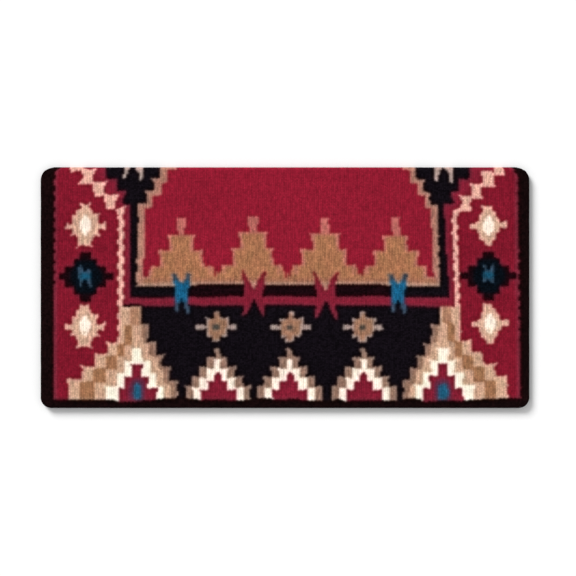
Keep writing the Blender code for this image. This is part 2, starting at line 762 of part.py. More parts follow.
def add_ground(half, hooks, corner_rooms):
    """The black ground with its small stars and the small arches at the end."""
    cuts = [*hooks, *corner_rooms.values()]
    white = stepped_arch(ARCH_WHITE_HALVES, ARCH_WHITE_RISES, SMALL_CLAW_SHARE)
    bands = [
        ("arch_red", RED, stepped_arch(ARCH_RED_HALVES, ARCH_RED_RISES)),
        ("arch_white", WHITE, white),
        ("arch_tan", TAN, stepped_arch(ARCH_TAN_HALVES, ARCH_RISES)),
    ]
    star = symmetric(blunt_star(STAR_BODY, STAR_ARM, STAR_DART))
    for i, name in enumerate(("left", "middle", "right")):
        across = (i - 1) * FIGURE_PITCH
        cuts.append(add_nested(half, name, across, bands))
        centre = plan([(across, STAR_HEIGHT)])[0]
        cuts.append(half.figure(f"small_star_{name}", star, TAN, centre=centre)[1])
    edge = CORNER_INNER[0] + CLAW_REACH
    low, high = END_BORDER + GAP, RED_BASE - GAP / 2
    outline = [(edge, high), (edge, low), (-edge, low), (-edge, high)]
    # The ground also fills the notch between the lower prongs of each hooked figure.
    for across in PLACES:
        reach = PRONG_MIDDLE_SHARE * BLUE_HALF
        outline += [(across - reach, high), (across - reach, BLACK_BASE)]
        outline += [(across + reach, BLACK_BASE), (across + reach, high)]
    half.tile("black_ground", plan(outline), BLACK, cuts)


def add_upper_pattern(half):
    """Everything woven inside the borders of the half that is seen."""
    edges = add_borders(half)
    step_rooms, corner_rooms = {}, {}
    for name, side in SIDES.items():
        line = plan(step_line(), side)
        step_rooms[name] = half.figure(f"step_line_{name}", line, CREAM)[1]
        white_room = add_nested(half, name, CORNER_MIDDLE, corner_bands(), side)
        outline = plan(corner_outline(), side)
        corner_rooms[name] = half.figure(
            f"corner_tan_{name}", outline, TAN, [white_room, step_rooms[name]]
        )[1]
    add_side_panels(half, edges, step_rooms, corner_rooms)
    hooks = add_frame(half, step_rooms)
    add_ground(half, hooks, corner_rooms)


def add_lower_pattern(half):
    """The half below, with the side panels and the middle as plain areas."""
    edges = add_borders(half, "lower_")
    low = END_BORDER + GAP
    for name, side in SIDES.items():
        inner = [(STRIPE_OUTER, FLAP_END), (STRIPE_OUTER, low)]
        half.tile(f"lower_panel_{name}", edges[name] + plan(inner, side), RED)
    across = STRIPE_OUTER - GAP
    corners = [(-across, low), (across, low), (across, FLAP_END), (-across, FLAP_END)]
    half.tile("lower_middle", plan(corners), BLACK)


def add_fold(half, name, upper):
    """A quarter of the cloth's round turn, as long as the blanket is wide."""
    radius = HINGE_Z
    turn = 1 if upper else -1
    first = math.asin(GAP / 2 / radius)
    section = [(GAP, turn * GAP / 2)]
    for i in range(FOLD_STEPS + 1):
        angle = first + (math.acos(GAP / radius) - first) * i / FOLD_STEPS
        section.append((radius * math.cos(angle), turn * radius * math.sin(angle)))
    mesh = slab(name, section, WIDTH)
    # The section's own plane is XY, so it is stood up with its length along X.
    work = bmesh.new()
    work.from_mesh(mesh)
    for vert in work.verts:
        vert.co = (vert.co.z, vert.co.x, vert.co.y)
    bmesh.ops.recalc_face_normals(work, faces=work.faces)
    work.to_mesh(mesh)
    work.free()
    piece = half.place(name, mesh, RED)
    piece.location = (0, 0, 0)
    region = half.cutter(name + " region", outline_corners(DEPTH))
    half.boolean(piece, "INTERSECT", region)


def main():
    """Build the folded blanket."""
    clear_scene()
    scene = bpy.context.scene
    parts = bpy.data.collections.new("saddle blanket")
    cutters = bpy.data.collections.new("cutters")
    for collection in (parts, cutters):
        scene.collection.children.link(collection)
    cutters.hide_render = True
    lower = Half("lower_half", 0, parts, cutters)
    upper = Half("upper_half", LAYER, parts, cutters)
    add_lower_pattern(lower)
    add_upper_pattern(upper)
    add_fold(lower, "fold_lower", False)
    add_fold(upper, "fold_upper", True)


main()
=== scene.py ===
"""A handwoven wool saddle blanket, folded in half, dressed over its CAD frame.

The cloth is weft-faced tapestry. Every pick of the weft shows as an oval bead on every rib, and the
beads of neighbouring ribs stand half a bead apart. A cartoon says which area and which wool each
bead belongs to. Each area is then woven as a closed piece of cloth, with its ribs and beads as
geometry.

Everything is in the frame of the CAD: metres, +Z up, the folded cloth on z = 0 with its fold at +Y.
The cartoon is drawn in millimetres: X, and the height above the end of the cloth. Its outlines run
past the cloth's edges where an area reaches them.
"""

import logging
import math
from dataclasses import dataclass, field
from enum import Enum
from typing import Iterable, Mapping, Sequence

import bmesh
import bpy
import numpy as np
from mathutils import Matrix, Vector


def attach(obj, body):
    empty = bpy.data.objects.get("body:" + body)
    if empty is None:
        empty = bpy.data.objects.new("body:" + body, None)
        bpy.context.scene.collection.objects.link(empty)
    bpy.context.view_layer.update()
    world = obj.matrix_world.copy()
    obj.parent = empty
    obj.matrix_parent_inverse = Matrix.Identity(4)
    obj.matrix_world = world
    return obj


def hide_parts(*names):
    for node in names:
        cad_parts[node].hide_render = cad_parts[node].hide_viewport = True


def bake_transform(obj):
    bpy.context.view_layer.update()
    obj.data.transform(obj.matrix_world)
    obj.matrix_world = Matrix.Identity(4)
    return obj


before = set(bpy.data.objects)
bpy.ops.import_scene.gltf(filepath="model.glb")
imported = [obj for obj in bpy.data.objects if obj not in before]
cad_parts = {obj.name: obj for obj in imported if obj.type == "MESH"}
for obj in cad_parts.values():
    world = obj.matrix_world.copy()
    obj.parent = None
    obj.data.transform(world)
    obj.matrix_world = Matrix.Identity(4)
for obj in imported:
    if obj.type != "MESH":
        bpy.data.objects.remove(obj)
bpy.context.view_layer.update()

log = logging.getLogger("saddle_blanket")

MM = 0.001

Point = tuple[float, float]
Outline = Sequence[Point]
Tiers = Sequence[tuple[float, ...]]
Claw = tuple[float, float, float]
Triple = tuple[float, float, float]
Socket = bpy.types.NodeSocket


# Wools


@dataclass(frozen=True)
class Spin:
    """How a kind of wool varies over the cloth.

    Attributes:
        fleck: How far single beads depart from the dye.
        heather: How far whole picks depart from it.
        hairs: How strongly pale fibres show on it.
        streaks: How far it departs in streaks along the ribs.
    """

    fleck: float = 0.16
    heather: float = 0.16
    hairs: float = 0.05
    streaks: float = 0.70


PALE_SPIN = Spin()
BLACK_SPIN = Spin(fleck=0.5, heather=0.3, hairs=0.006, streaks=0.4)
FIELD_SPIN = Spin(fleck=0.14, heather=0.14, hairs=0.01, streaks=0.45)
CRIMSON_SPIN = Spin(hairs=0.01, streaks=0.45)
WHITE_SPIN = Spin(fleck=0.08, heather=0.10, hairs=0.02, streaks=0.5)
SNOW_SPIN = Spin(fleck=0.08, heather=0.10, hairs=0.02, streaks=0.25)
BLUE_SPIN = Spin(fleck=0.2, heather=0.2, hairs=0.02)
DULL_BLUE_SPIN = Spin(fleck=0.2, heather=0.2, hairs=0.03)


@dataclass(frozen=True)
class Wool:
    """One dyed yarn.

    Attributes:
        name: Name of its material.
        slot: Name of its material slot.
        dye: Linear colour of the lit cloth.
        spin: How it varies.
    """

    name: str
    slot: str
    dye: Triple
    spin: Spin = PALE_SPIN


class Yarn(Enum):
    """The wools on the blanket."""

    BORDER = Wool("border black wool", "black_wool", (0.0066, 0.0021, 0.0023), BLACK_SPIN)
    GROUND = Wool("ground black wool", "black_wool", (0.005, 0.0033, 0.0056), BLACK_SPIN)
    BAND_BLACK = Wool("band black wool", "black_wool", (0.0085, 0.0018, 0.0034), BLACK_SPIN)
    NIGHT_BLACK = Wool("diamond black wool", "black_wool", (0.0017, 0.0037, 0.0068), BLACK_SPIN)
    FIELD = Wool("field crimson wool", "red_wool", (0.280, 0.0112, 0.0295), FIELD_SPIN)
    PANEL = Wool("panel crimson wool", "red_wool", (0.218, 0.0088, 0.0235), CRIMSON_SPIN)
    BAND = Wool("band crimson wool", "red_wool", (0.222, 0.0128, 0.031), CRIMSON_SPIN)
    TERRACE = Wool("terrace camel wool", "tan_wool", (0.390, 0.165, 0.080))
    BLUSH = Wool("pyramid blush wool", "tan_wool", (0.470, 0.168, 0.118))
    ROSE = Wool("pyramid rose wool", "tan_wool", (0.465, 0.135, 0.110))
    FRAME = Wool("frame tan wool", "tan_wool", (0.410, 0.185, 0.130))
    CAMEL = Wool("corner camel wool", "tan_wool", (0.350, 0.162, 0.080))
    OAT = Wool("corner oat wool", "tan_wool", (0.430, 0.215, 0.130))
    HEM = Wool("hem sand wool", "cream_wool", (0.400, 0.210, 0.140))
    SILL = Wool("sill camel wool", "tan_wool", (0.362, 0.148, 0.085))
    TAUPE = Wool("corner taupe wool", "tan_wool", (0.290, 0.160, 0.110))
    SAND = Wool("corner sand wool", "cream_wool", (0.605, 0.363, 0.245))
    ARCH = Wool("arch tan wool", "tan_wool", (0.305, 0.174, 0.124))
    SMALL_STAR = Wool("small star tan wool", "tan_wool", (0.336, 0.166, 0.099))
    STAR_ARM = Wool("star arm grey wool", "grey_wool", (0.350, 0.245, 0.210))
    LINE = Wool("step line cream wool", "cream_wool", (0.745, 0.410, 0.315))
    STAR = Wool("star cream wool", "cream_wool", (0.650, 0.395, 0.278))
    WHITE = Wool("natural white wool", "white_wool", (0.985, 0.850, 0.715), WHITE_SPIN)
    SNOW = Wool("corner white wool", "white_wool", (0.955, 0.890, 0.730), SNOW_SPIN)
    BLUE = Wool("hook blue wool", "blue_wool", (0.008, 0.110, 0.230), BLUE_SPIN)
    NIGHT = Wool("diamond blue wool", "blue_wool", (0.0060, 0.068, 0.125), DULL_BLUE_SPIN)
    HOOK_TIP = Wool("hook slate wool", "blue_wool", (0.031, 0.069, 0.118), DULL_BLUE_SPIN)
    STEEL = Wool("corner blue wool", "blue_wool", (0.012, 0.100, 0.185), DULL_BLUE_SPIN)
    FANG = Wool("fang grey wool", "grey_wool", (0.450, 0.300, 0.255))
    SLATE = Wool("dot slate wool", "blue_wool", (0.060, 0.066, 0.062))
    PLUM = Wool("corner plum wool", "red_wool", (0.128, 0.024, 0.054), CRIMSON_SPIN)
    EDGE_RED = Wool("panel edge crimson wool", "red_wool", (0.225, 0.0165, 0.036), CRIMSON_SPIN)


class Bench:
    """Adds nodes to a shader node group and links them."""

    def __init__(self, tree: bpy.types.ShaderNodeTree) -> None:
        """Starts on a group.

        Args:
            tree: The group that gets the nodes.
        """
        self.tree = tree
        self.coordinates = tree.nodes.new("ShaderNodeTexCoord")

    def feed(self, target: Socket, value: object) -> None:
        """Gives an input what it reads.

        Args:
            target: The input.
            value: A socket to link to it, or a number, vector or colour for it to hold.
        """
        if isinstance(value, bpy.types.NodeSocket):
            self.tree.links.new(value, target)
        else:
            target.default_value = value

    def maths(self, operation: str, *values: object, clamp: bool = False) -> Socket:
        """Adds a Math node.

        Args:
            operation: What it does.
            values: What its inputs read.
            clamp: Whether the result is held between 0 and 1.

        Returns:
            Its output.
        """
        node = self.tree.nodes.new("ShaderNodeMath")
        node.operation = operation
        node.use_clamp = clamp
        for target, value in zip(node.inputs, values):
            self.feed(target, value)
        return node.outputs[0]

    def centred(self, value: Socket) -> Socket:
        """Stretches a value from between 0 and 1 to between -1 and 1."""
        return self.maths("MULTIPLY_ADD", value, 2.0, -1.0)

    def around_one(self, value: Socket, amount: object) -> Socket:
        """Turns a value from 0 to 1 into a factor of one plus or minus an amount."""
        return self.maths("MULTIPLY_ADD", self.centred(value), amount, 1.0)

    def noise(self, waves: Triple, detail: float) -> Socket:
        """Adds a noise on the object's coordinates.

        Args:
            waves: Waves to the metre along X, Y and Z.
            detail: How many finer waves lie over them.

        Returns:
            The noise, from 0 to 1.
        """
        place = self.tree.nodes.new("ShaderNodeMapping")
        self.feed(place.inputs["Scale"], waves)
        self.feed(place.inputs["Vector"], self.coordinates.outputs["Object"])
        node = self.tree.nodes.new("ShaderNodeTexNoise")
        self.feed(node.inputs["Scale"], 1.0)
        self.feed(node.inputs["Detail"], detail)
        self.feed(node.inputs["Vector"], place.outputs["Vector"])
        return node.outputs["Fac"]

    def mix(self, factor: object, first: object, second: object) -> Socket:
        """Adds a mix of two colours.

        Args:
            factor: How much the second one counts, from 0 to 1.
            first: The first colour.
            second: The second colour.

        Returns:
            The mixed colour.
        """
        node = self.tree.nodes.new("ShaderNodeMix")
        node.data_type = "RGBA"
        for name, value in (("Factor", factor), ("A", first), ("B", second)):
            self.feed(node.inputs[name], value)
        return node.outputs["Result"]

    def tinted(self, colour: Socket, tint: Socket) -> Socket:
        """Multiplies a colour by another.

        Args:
            colour: The colour.
            tint: The other one.

        Returns:
            Their product.
        """
        node = self.tree.nodes.new("ShaderNodeVectorMath")
        node.operation = "MULTIPLY"
        self.feed(node.inputs[0], colour)
        self.feed(node.inputs[1], tint)
        return node.outputs[0]

    def lit(self, colour: Socket, factor: Socket) -> Socket:
        """Multiplies a colour by a number.

        Args:
            colour: The colour.
            factor: The number.

        Returns:
            Their product.
        """
        node = self.tree.nodes.new("ShaderNodeVectorMath")
        node.operation = "SCALE"
        self.feed(node.inputs[0], colour)
        self.feed(node.inputs["Scale"], factor)
        return node.outputs[0]


class WoolShader:
    """Makes the materials of the wools from one shared shader node group.

    Attributes:
        GROUP: Name of the group.
        WEAVE_MAP: The UV map that counts ribs in U and beads in V.
        NEIGHBOURS: The attribute that holds the dyes mixed round each point.
        MINGLE: How much of that mix shows.
        EXPOSURE: Factor from the lit cloth's colours to the materials'.
        ROUGHNESS: Roughness of wool.
        GLOSS: Its specular level.
        BUMP: Strength of its fine relief, and the relief's height in metres.
        STARTS: What the group's number sockets hold before a wool sets them.
        GROOVE: Factor and start of the groove round a bead.
        GROOVE_SHADE: How much darker the groove is: painted shade in the groove round each bead.
        GROOVE_RELIEF: How deep it is in the fine relief.
        TWIST: Turns of the ply across a rib and along a bead, in radians.
        PLY_SHADE: How much the ply lightens and darkens a bead: painted light and shade along its
            twist.
        PLY_RELIEF: Its height in the fine relief.
        PICKS: Waves and detail of the change from pick to pick.
        STREAKS: The same for the streaks along the ribs.
        FADING: The same for the slow change over the cloth.
        FADED: How much that one changes.
        TINTING: Waves and detail of the change from the first of TINTS to the second.
        TINTS: Factors on the dye.
        FIBRES: Waves and detail of the fuzz.
        STRANDS: Factor and start of the hairs in it.
        HAIR: Their colour.
        FUZZ_RELIEF: The fuzz's height in the fine relief.
    """

    GROUP = "Woven wool"
    WEAVE_MAP = "Weave"
    NEIGHBOURS = "Neighbours"
    MINGLE = 0.9
    EXPOSURE = 0.94
    ROUGHNESS = 0.92
    GLOSS = 0.02
    BUMP = (0.6, 0.0009)
    STARTS = (("Fleck", 0.15), ("Heather", 0.15), ("Streaks", 0.2), ("Hairs", 0.05))
    GROOVE = (0.75, -0.35)
    GROOVE_SHADE = 0.42
    GROOVE_RELIEF = 0.5
    TWIST = (18.0, 12.0)
    PLY_SHADE = 0.05
    PLY_RELIEF = 0.10
    PICKS = ((16.0, 340.0, 60.0), 2.0)
    STREAKS = ((250.0, 70.0, 60.0), 3.0)
    FADING = ((6.0, 9.0, 9.0), 2.0)
    FADED = 0.14
    TINTING = ((75.0, 40.0, 50.0), 3.0)
    TINTS = ((0.92, 1.03, 0.96, 1), (1.08, 0.97, 1.04, 1))
    FIBRES = ((900.0, 1400.0, 900.0), 3.0)
    STRANDS = (5.0, -2.9)
    HAIR = (0.75, 0.62, 0.52, 1)
    FUZZ_RELIEF = 0.7

    def __init__(self) -> None:
        """Builds the group; the materials are made when they are first asked for."""
        self.group = self._build_group()
        self.made: dict[Yarn, bpy.types.Material] = {}

    def material(self, yarn: Yarn) -> bpy.types.Material:
        """Gives the material of a wool.

        Args:
            yarn: Which wool.

        Returns:
            Its material, made at the first call.
        """
        if yarn not in self.made:
            self.made[yarn] = self._build_material(yarn.value)
        return self.made[yarn]

    def _build_material(self, wool: Wool) -> bpy.types.Material:
        """Makes one wool's material.

        Args:
            wool: Its dye and how it varies.

        Returns:
            The new material.
        """
        material = bpy.data.materials.new(wool.name)
        material.use_nodes = True
        tree = material.node_tree
        shader = next(n for n in tree.nodes if n.type == "BSDF_PRINCIPLED")
        shader.inputs["Roughness"].default_value = self.ROUGHNESS
        shader.inputs["Specular IOR Level"].default_value = self.GLOSS
        weave = tree.nodes.new("ShaderNodeGroup")
        weave.node_tree = self.group
        weave.location = (-420, 0)
        dye = [self.EXPOSURE * c for c in wool.dye]
        weave.inputs["Dye"].default_value = (*dye, 1)
        weave.inputs["Fleck"].default_value = wool.spin.fleck
        weave.inputs["Heather"].default_value = wool.spin.heather
        weave.inputs["Streaks"].default_value = wool.spin.streaks
        weave.inputs["Hairs"].default_value = wool.spin.hairs
        bump = tree.nodes.new("ShaderNodeBump")
        bump.location = (-200, -200)
        strength, height = self.BUMP
        bump.inputs["Strength"].default_value = strength
        bump.inputs["Distance"].default_value = height
        tree.links.new(weave.outputs["Colour"], shader.inputs["Base Color"])
        tree.links.new(weave.outputs["Height"], bump.inputs["Height"])
        tree.links.new(bump.outputs["Normal"], shader.inputs["Normal"])
        return material

    def _build_group(self) -> bpy.types.ShaderNodeTree:
        """Builds the weave's node group.

        Returns:
            A group with Dye, Fleck, Heather, Streaks and Hairs in, and Colour and Height out.
        """
        tree = bpy.data.node_groups.new(self.GROUP, "ShaderNodeTree")
        sockets = tree.interface
        sockets.new_socket("Dye", in_out="INPUT", socket_type="NodeSocketColor")
        for name, start in self.STARTS:
            made = sockets.new_socket(name, in_out="INPUT", socket_type="NodeSocketFloat")
            made.default_value = start
        sockets.new_socket("Colour", in_out="OUTPUT", socket_type="NodeSocketColor")
        sockets.new_socket("Height", in_out="OUTPUT", socket_type="NodeSocketFloat")
        entry = tree.nodes.new("NodeGroupInput").outputs
        exit_ = tree.nodes.new("NodeGroupOutput").inputs

        bench = Bench(tree)
        groove, ply, chance = self._beads(bench)
        # The factor on the dye holds painted shade in the grooves and painted light and shade along
        # the ply, besides the wool's own changes of tone.
        light = self._light(bench, entry, groove, ply, chance)
        dyed = bench.lit(self._dye(bench, entry), light)
        fibres = bench.noise(*self.FIBRES)
        strands = bench.maths("MULTIPLY_ADD", fibres, *self.STRANDS, clamp=True)
        hairs = bench.maths("MULTIPLY", strands, entry["Hairs"])
        bench.feed(exit_["Colour"], bench.mix(hairs, dyed, self.HAIR))

        relief = bench.maths("MULTIPLY_ADD", groove, -self.GROOVE_RELIEF, 1.0)
        relief = bench.maths("MULTIPLY_ADD", ply, self.PLY_RELIEF, relief)
        relief = bench.maths("MULTIPLY_ADD", fibres, self.FUZZ_RELIEF, relief)
        bench.feed(exit_["Height"], relief)
        return tree

    def _beads(self, bench: Bench) -> tuple[Socket, Socket, Socket]:
        """Reads the beads off the weave's map.

        Args:
            bench: Adds the nodes.

        Returns:
            The groove round each bead, the twist of its ply, and a chance value for each bead.
        """
        weave = bench.tree.nodes.new("ShaderNodeUVMap")
        weave.uv_map = self.WEAVE_MAP
        split = bench.tree.nodes.new("ShaderNodeSeparateXYZ")
        bench.feed(split.inputs[0], weave.outputs["UV"])
        counts = (split.outputs[0], split.outputs[1])
        cell = bench.tree.nodes.new("ShaderNodeCombineXYZ")
        for target, count in zip(cell.inputs, counts):
            bench.feed(target, bench.maths("FLOOR", count))
        chance = bench.tree.nodes.new("ShaderNodeTexWhiteNoise")
        chance.noise_dimensions = "3D"
        bench.feed(chance.inputs["Vector"], cell.outputs[0])

        offsets = [bench.centred(bench.maths("FRACT", count)) for count in counts]
        squares = [bench.maths("MULTIPLY", offset, offset) for offset in offsets]
        round_ = bench.maths("ADD", *squares)
        groove = bench.maths("MULTIPLY_ADD", round_, *self.GROOVE, clamp=True)
        turns = [bench.maths("MULTIPLY", c, turn) for c, turn in zip(counts, self.TWIST)]
        ply = bench.maths("SINE", bench.maths("ADD", *turns))
        return groove, ply, chance.outputs["Value"]

    def _light(
        self, bench: Bench, entry: Mapping[str, Socket], groove: Socket, ply: Socket, chance: Socket
    ) -> Socket:
        """Works out how light the wool is: painted shade in the groove round each bead and painted
        light and shade along the ply's twist, times the wool's own random changes of tone.

        Args:
            bench: Adds the nodes.
            entry: The group's own inputs.
            groove: The groove round each bead.
            ply: The twist of its ply.
            chance: A chance value for each bead.

        Returns:
            A factor on the dye.
        """
        # Painted shade: the groove round each bead is darker.
        light = bench.maths("MULTIPLY_ADD", groove, -self.GROOVE_SHADE, 1.0)
        for change, amount in (
            (chance, entry["Fleck"]),
            (bench.noise(*self.PICKS), entry["Heather"]),
            (bench.noise(*self.STREAKS), entry["Streaks"]),
            (bench.noise(*self.FADING), self.FADED),
        ):
            light = bench.maths("MULTIPLY", light, bench.around_one(change, amount))
        # Painted light and shade along the twist of the ply.
        twist = bench.maths("MULTIPLY_ADD", ply, self.PLY_SHADE, 1.0)
        return bench.maths("MULTIPLY", light, twist)

    def _dye(self, bench: Bench, entry: Mapping[str, Socket]) -> Socket:
        """Mixes the dye with those around it and lets its tint change.

        Args:
            bench: Adds the nodes.
            entry: The group's own inputs.

        Returns:
            The colour before it is lit.
        """
        around = bench.tree.nodes.new("ShaderNodeAttribute")
        around.attribute_name = self.NEIGHBOURS
        mingled = bench.mix(self.MINGLE, entry["Dye"], around.outputs["Color"])
        tint = bench.mix(bench.noise(*self.TINTING), *self.TINTS)
        return bench.tinted(mingled, tint)


# The loom and the cartoon


@dataclass(frozen=True)
class Loom:
    """The grid of the cloth: every rib is two quads wide, every bead two quads long.

    Attributes:
        width: Across the cloth, in metres.
        height: From the end to the line where the fold starts to turn.
        ribs: How many ribs the width holds.
        flat_rows: Rows of quads from the end to that line.
        turn_rows: Rows of quads round a quarter turn at the fold.
        turn_length: Outer length of that quarter turn.
    """

    width: float = 0.914
    height: float = 0.44405
    ribs: int = 262
    flat_rows: int = 323
    turn_rows: int = 8
    turn_length: float = 0.010446

    @property
    def columns(self) -> int:
        """Quads across the cloth."""
        return 2 * self.ribs

    @property
    def rows(self) -> int:
        """Quads from the end to the middle of the fold."""
        return self.flat_rows + self.turn_rows

    def across(self, column: np.ndarray) -> np.ndarray:
        """Turns grid columns into X, in metres."""
        return (column / self.columns - 0.5) * self.width

    def along(self, row: np.ndarray) -> np.ndarray:
        """Turns grid rows into the length of cloth from its end.

        Args:
            row: The rows.

        Returns:
            The lengths in metres.
        """
        flat = np.minimum(row, self.flat_rows) * self.height / self.flat_rows
        turn = np.maximum(row - self.flat_rows, 0) * self.turn_length / self.turn_rows
        return flat + turn

    def bead_of(self, row: np.ndarray, column: np.ndarray) -> tuple[np.ndarray, np.ndarray]:
        """Finds the bead of each quad.

        Args:
            row: Rows of the quads.
            column: Their columns.

        Returns:
            The rib and the bead's number along it.
        """
        rib = column // 2
        return rib, (row + rib % 2) // 2


def stepped(tiers: Tiers, base: float, claw: Claw) -> list[Point]:
    """Draws a stepped figure whose tiers flare into a claw at each top corner.

    Args:
        tiers: Left edge, right edge and top of each tier, from the highest down, and then the
            left and right edge at its foot where these differ.
        base: Height of the foot.
        claw: How far a claw stands out and up, and how far down it tapers.

    Returns:
        The outline.
    """
    out, up, waist = claw
    left: list[Point] = []
    right: list[Point] = []
    feet = [tier[2] for tier in tiers[1:]] + [base]
    for (start, end, top, *spread), foot in zip(tiers, feet):
        low_start, low_end = spread or (start, end)
        right += [(end + out, top + up), (end, top - waist), (low_end, foot)]
        left += [(start - out, top + up), (start, top - waist), (low_start, foot)]
    return right + left[::-1]


def wavy(start: Point, end: Point, swing: float, period: float, crest: float) -> list[Point]:
    """Draws an edge that waves to the side as it goes down.

    Args:
        start: Its upper end.
        end: Its lower end.
        swing: How far it waves to +X at a crest.
        period: Height of one wave.
        crest: Height of one of its crests.

    Returns:
        Points along it.
    """
    count = round((start[1] - end[1]) / (period / 4))
    points = []
    for k in range(count + 1):
        share = k / count
        x = start[0] + (end[0] - start[0]) * share
        s = start[1] + (end[1] - start[1]) * share
        points.append((x + swing * math.cos(math.tau * (s - crest) / period), s))
    return points


class Cartoon:
    """Says for each bead of the cloth which area and which wool it belongs to."""

    def __init__(self, loom: Loom) -> None:
        """Starts an empty cartoon.

        Args:
            loom: The grid of beads.
        """
        self.loom = loom
        beads = loom.rows // 2 + 2
        rib, bead = np.meshgrid(np.arange(loom.ribs), np.arange(beads), indexing="ij")
        self.x = loom.across(2 * rib + 1.0) / MM
        middle = 2 * bead + 1 - rib % 2
        self.s = loom.along(middle.astype(float)) / MM
        self.area = np.full(rib.shape, -1)
        self.yarn = np.full(rib.shape, -1)
        self.areas: list[str] = []
        self.yarns: list[Yarn] = list(Yarn)

    def paint(self, area: str | None, yarn: Yarn, outline: Outline, at: Point = (0.0, 0.0)) -> None:
        """Gives the beads inside an outline to an area and a wool.

        Args:
            area: Name of the area, or None to leave the beads in the area that has them.
            yarn: Their wool.
            outline: Closed outline in millimetres: X, and the height above the end of the cloth.
            at: Where the outline's origin lies.
        """
        inside = self._inside([(x + at[0], s + at[1]) for x, s in outline])
        self.yarn[inside] = self.yarns.index(yarn)
        if area is not None:
            if area not in self.areas:
                self.areas.append(area)
            self.area[inside] = self.areas.index(area)

    def _inside(self, outline: Outline) -> np.ndarray:
        """Tests which beads' middles lie inside a closed outline.

        Args:
            outline: The outline in millimetres.

        Returns:
            True for each bead inside.
        """
        inside = np.zeros(self.x.shape, bool)
        x, s = self.x, self.s
        for (x0, s0), (x1, s1) in zip(outline, [*outline[1:], outline[0]]):
            if s0 == s1:
                continue
            crosses = (s0 > s) != (s1 > s)
            inside ^= crosses & (x < (x1 - x0) * (s - s0) / (s1 - s0) + x0)
        return inside

    def mask(self, areas: Iterable[str]) -> np.ndarray:
        """Gives the quads of some areas.

        Args:
            areas: Names of the areas.

        Returns:
            True for each quad, by row and column.
        """
        wanted = [self.areas.index(name) for name in areas]
        return np.isin(self.area, wanted)[self._beads()]

    def yarn_of_quads(self) -> np.ndarray:
        """Gives the wool's number of each quad, by row and column."""
        return self.yarn[self._beads()]

    def _beads(self) -> tuple[np.ndarray, np.ndarray]:
        """Finds the bead of every quad.

        Returns:
            The rib, and the bead's number along it, by row and column.
        """
        row, column = np.meshgrid(
            np.arange(self.loom.rows), np.arange(self.loom.columns), indexing="ij"
        )
        return self.loom.bead_of(row, column)


# The sub-assemblies of the pattern, each of which paints its areas into the cartoon


@dataclass(frozen=True)
class CentreFrames:
    """The crimson and black bands that frame the middle, and the black ground below them.

    Attributes:
        left: X of the cut in both bands that the left blue hook covers.
        right: X of the cut that the right one covers.
        splits: X of the two cuts in the black band that the crimson hooks cover.
        red_foot: Where the crimson band ends below, under the ground's edge.
        black_foot: Where the black band ends below.
        black_top: Where it ends above.
        ground: The black ground, whose upper edge is a little uneven.
        rises: Where the crimson band rises into the black one.
        dips: Where the black band dips into the crimson one.
        reach: A length that goes past the cloth's edges.
        everywhere: An outline round the whole cloth.
        black_left: The black corner and side on the left.
        black_right: The same on the right.
    """

    left: float = -193.0
    right: float = 211.5
    splits: tuple[float, float] = (-58.0, 76.8)
    red_foot: float = 186.0
    black_foot: float = 207.8
    black_top: float = 236.0
    ground: Outline = (
        (-306, 192.8), (-275, 194.7), (-270, 195), (-263, 190.4), (-212, 190), (-200, 191.9),
        (-170, 192.8), (-161, 190.9), (-144, 190.9), (-137, 192.2), (-99, 192.4), (-90, 191.3),
        (-77, 191.7), (-36, 192.8), (34, 192.8), (43, 191.3), (58, 191.1), (99, 192.8),
        (112, 192.2), (122, 191.1), (163, 191.2), (193, 191.9), (221, 194.3), (232, 190.9),
        (258, 191.1), (266, 189.2), (283, 188.5), (325, 188.5), (325, 11), (-306, 11),
    )
    rises: tuple[Outline, ...] = (
        ((-112, 207), (-108, 209.8), (-86, 209.4), (-82, 207)),
        ((-40, 207), (-37, 209.8), (10, 209.6), (15, 207)),
        ((138, 207), (144, 209.8), (184, 209.6), (190, 207)),
    )
    dips: tuple[tuple[str, Outline], ...] = (
        ("black_frame_left", ((-280, 208), (-276, 205.4), (-226, 205.6), (-222, 208))),
        ("black_frame_mid_left", ((-166, 208.5), (-162, 206.6), (-134, 206.6), (-130, 208.5))),
    )
    reach: float = 470.0
    everywhere: Outline = ((-470, 470), (470, 470), (470, -10), (-470, -10))
    black_left: Outline = (
        (-333.5, 501), (-335.5, 433), (-331.5, 428), (-313, 429), (-314.5, 409.5), (-312, 406),
        (-296.5, 406.5), (-300, 396), (-305, 385), (-302, 381), (-288.5, 380.5), (-289.5, 207),
        (-193, 207), (-193, 501),
    )
    black_right: Outline = (
        (344, 501), (345.5, 432), (342, 427.5), (324, 428), (325, 407.5), (322, 404.5),
        (309.5, 405), (312, 394), (316, 385), (312, 382), (296.5, 381.5), (298.5, 351.5),
        (300, 314), (302.5, 277), (306, 239.5), (308, 207), (211.5, 207), (211.5, 501),
    )

    def paint(self, cartoon: Cartoon) -> None:
        """Paints the bands and the ground.

        Args:
            cartoon: The cartoon to paint into.
        """
        cartoon.paint("red_frame_middle", Yarn.BAND, self.everywhere)
        for name, start, end in (
            ("red_frame_left", -self.reach, self.left),
            ("red_frame_right", self.right, self.reach),
        ):
            cartoon.paint(name, Yarn.BAND, self._band(start, end, self.red_foot, self.reach))
        cartoon.paint("black_frame_left", Yarn.GROUND, self.black_left)
        cartoon.paint("black_frame_right", Yarn.GROUND, self.black_right)
        edges = (self.left, *self.splits, self.right)
        names = ("black_frame_mid_left", "black_frame_middle", "black_frame_mid_right")
        for name, start, end in zip(names, edges, edges[1:]):
            band = self._band(start, end, self.black_foot, self.black_top)
            cartoon.paint(name, Yarn.BAND_BLACK, band)
        cartoon.paint("black_ground", Yarn.GROUND, self.ground)
        for rise in self.rises:
            cartoon.paint("red_frame_middle", Yarn.BAND, rise)
        for name, dip in self.dips:
            cartoon.paint(name, Yarn.BAND_BLACK, dip)

    @staticmethod
    def _band(start: float, end: float, foot: float, top: float) -> Outline:
        """Gives the outline of a level band."""
        return ((start, foot), (end, foot), (end, top), (start, top))


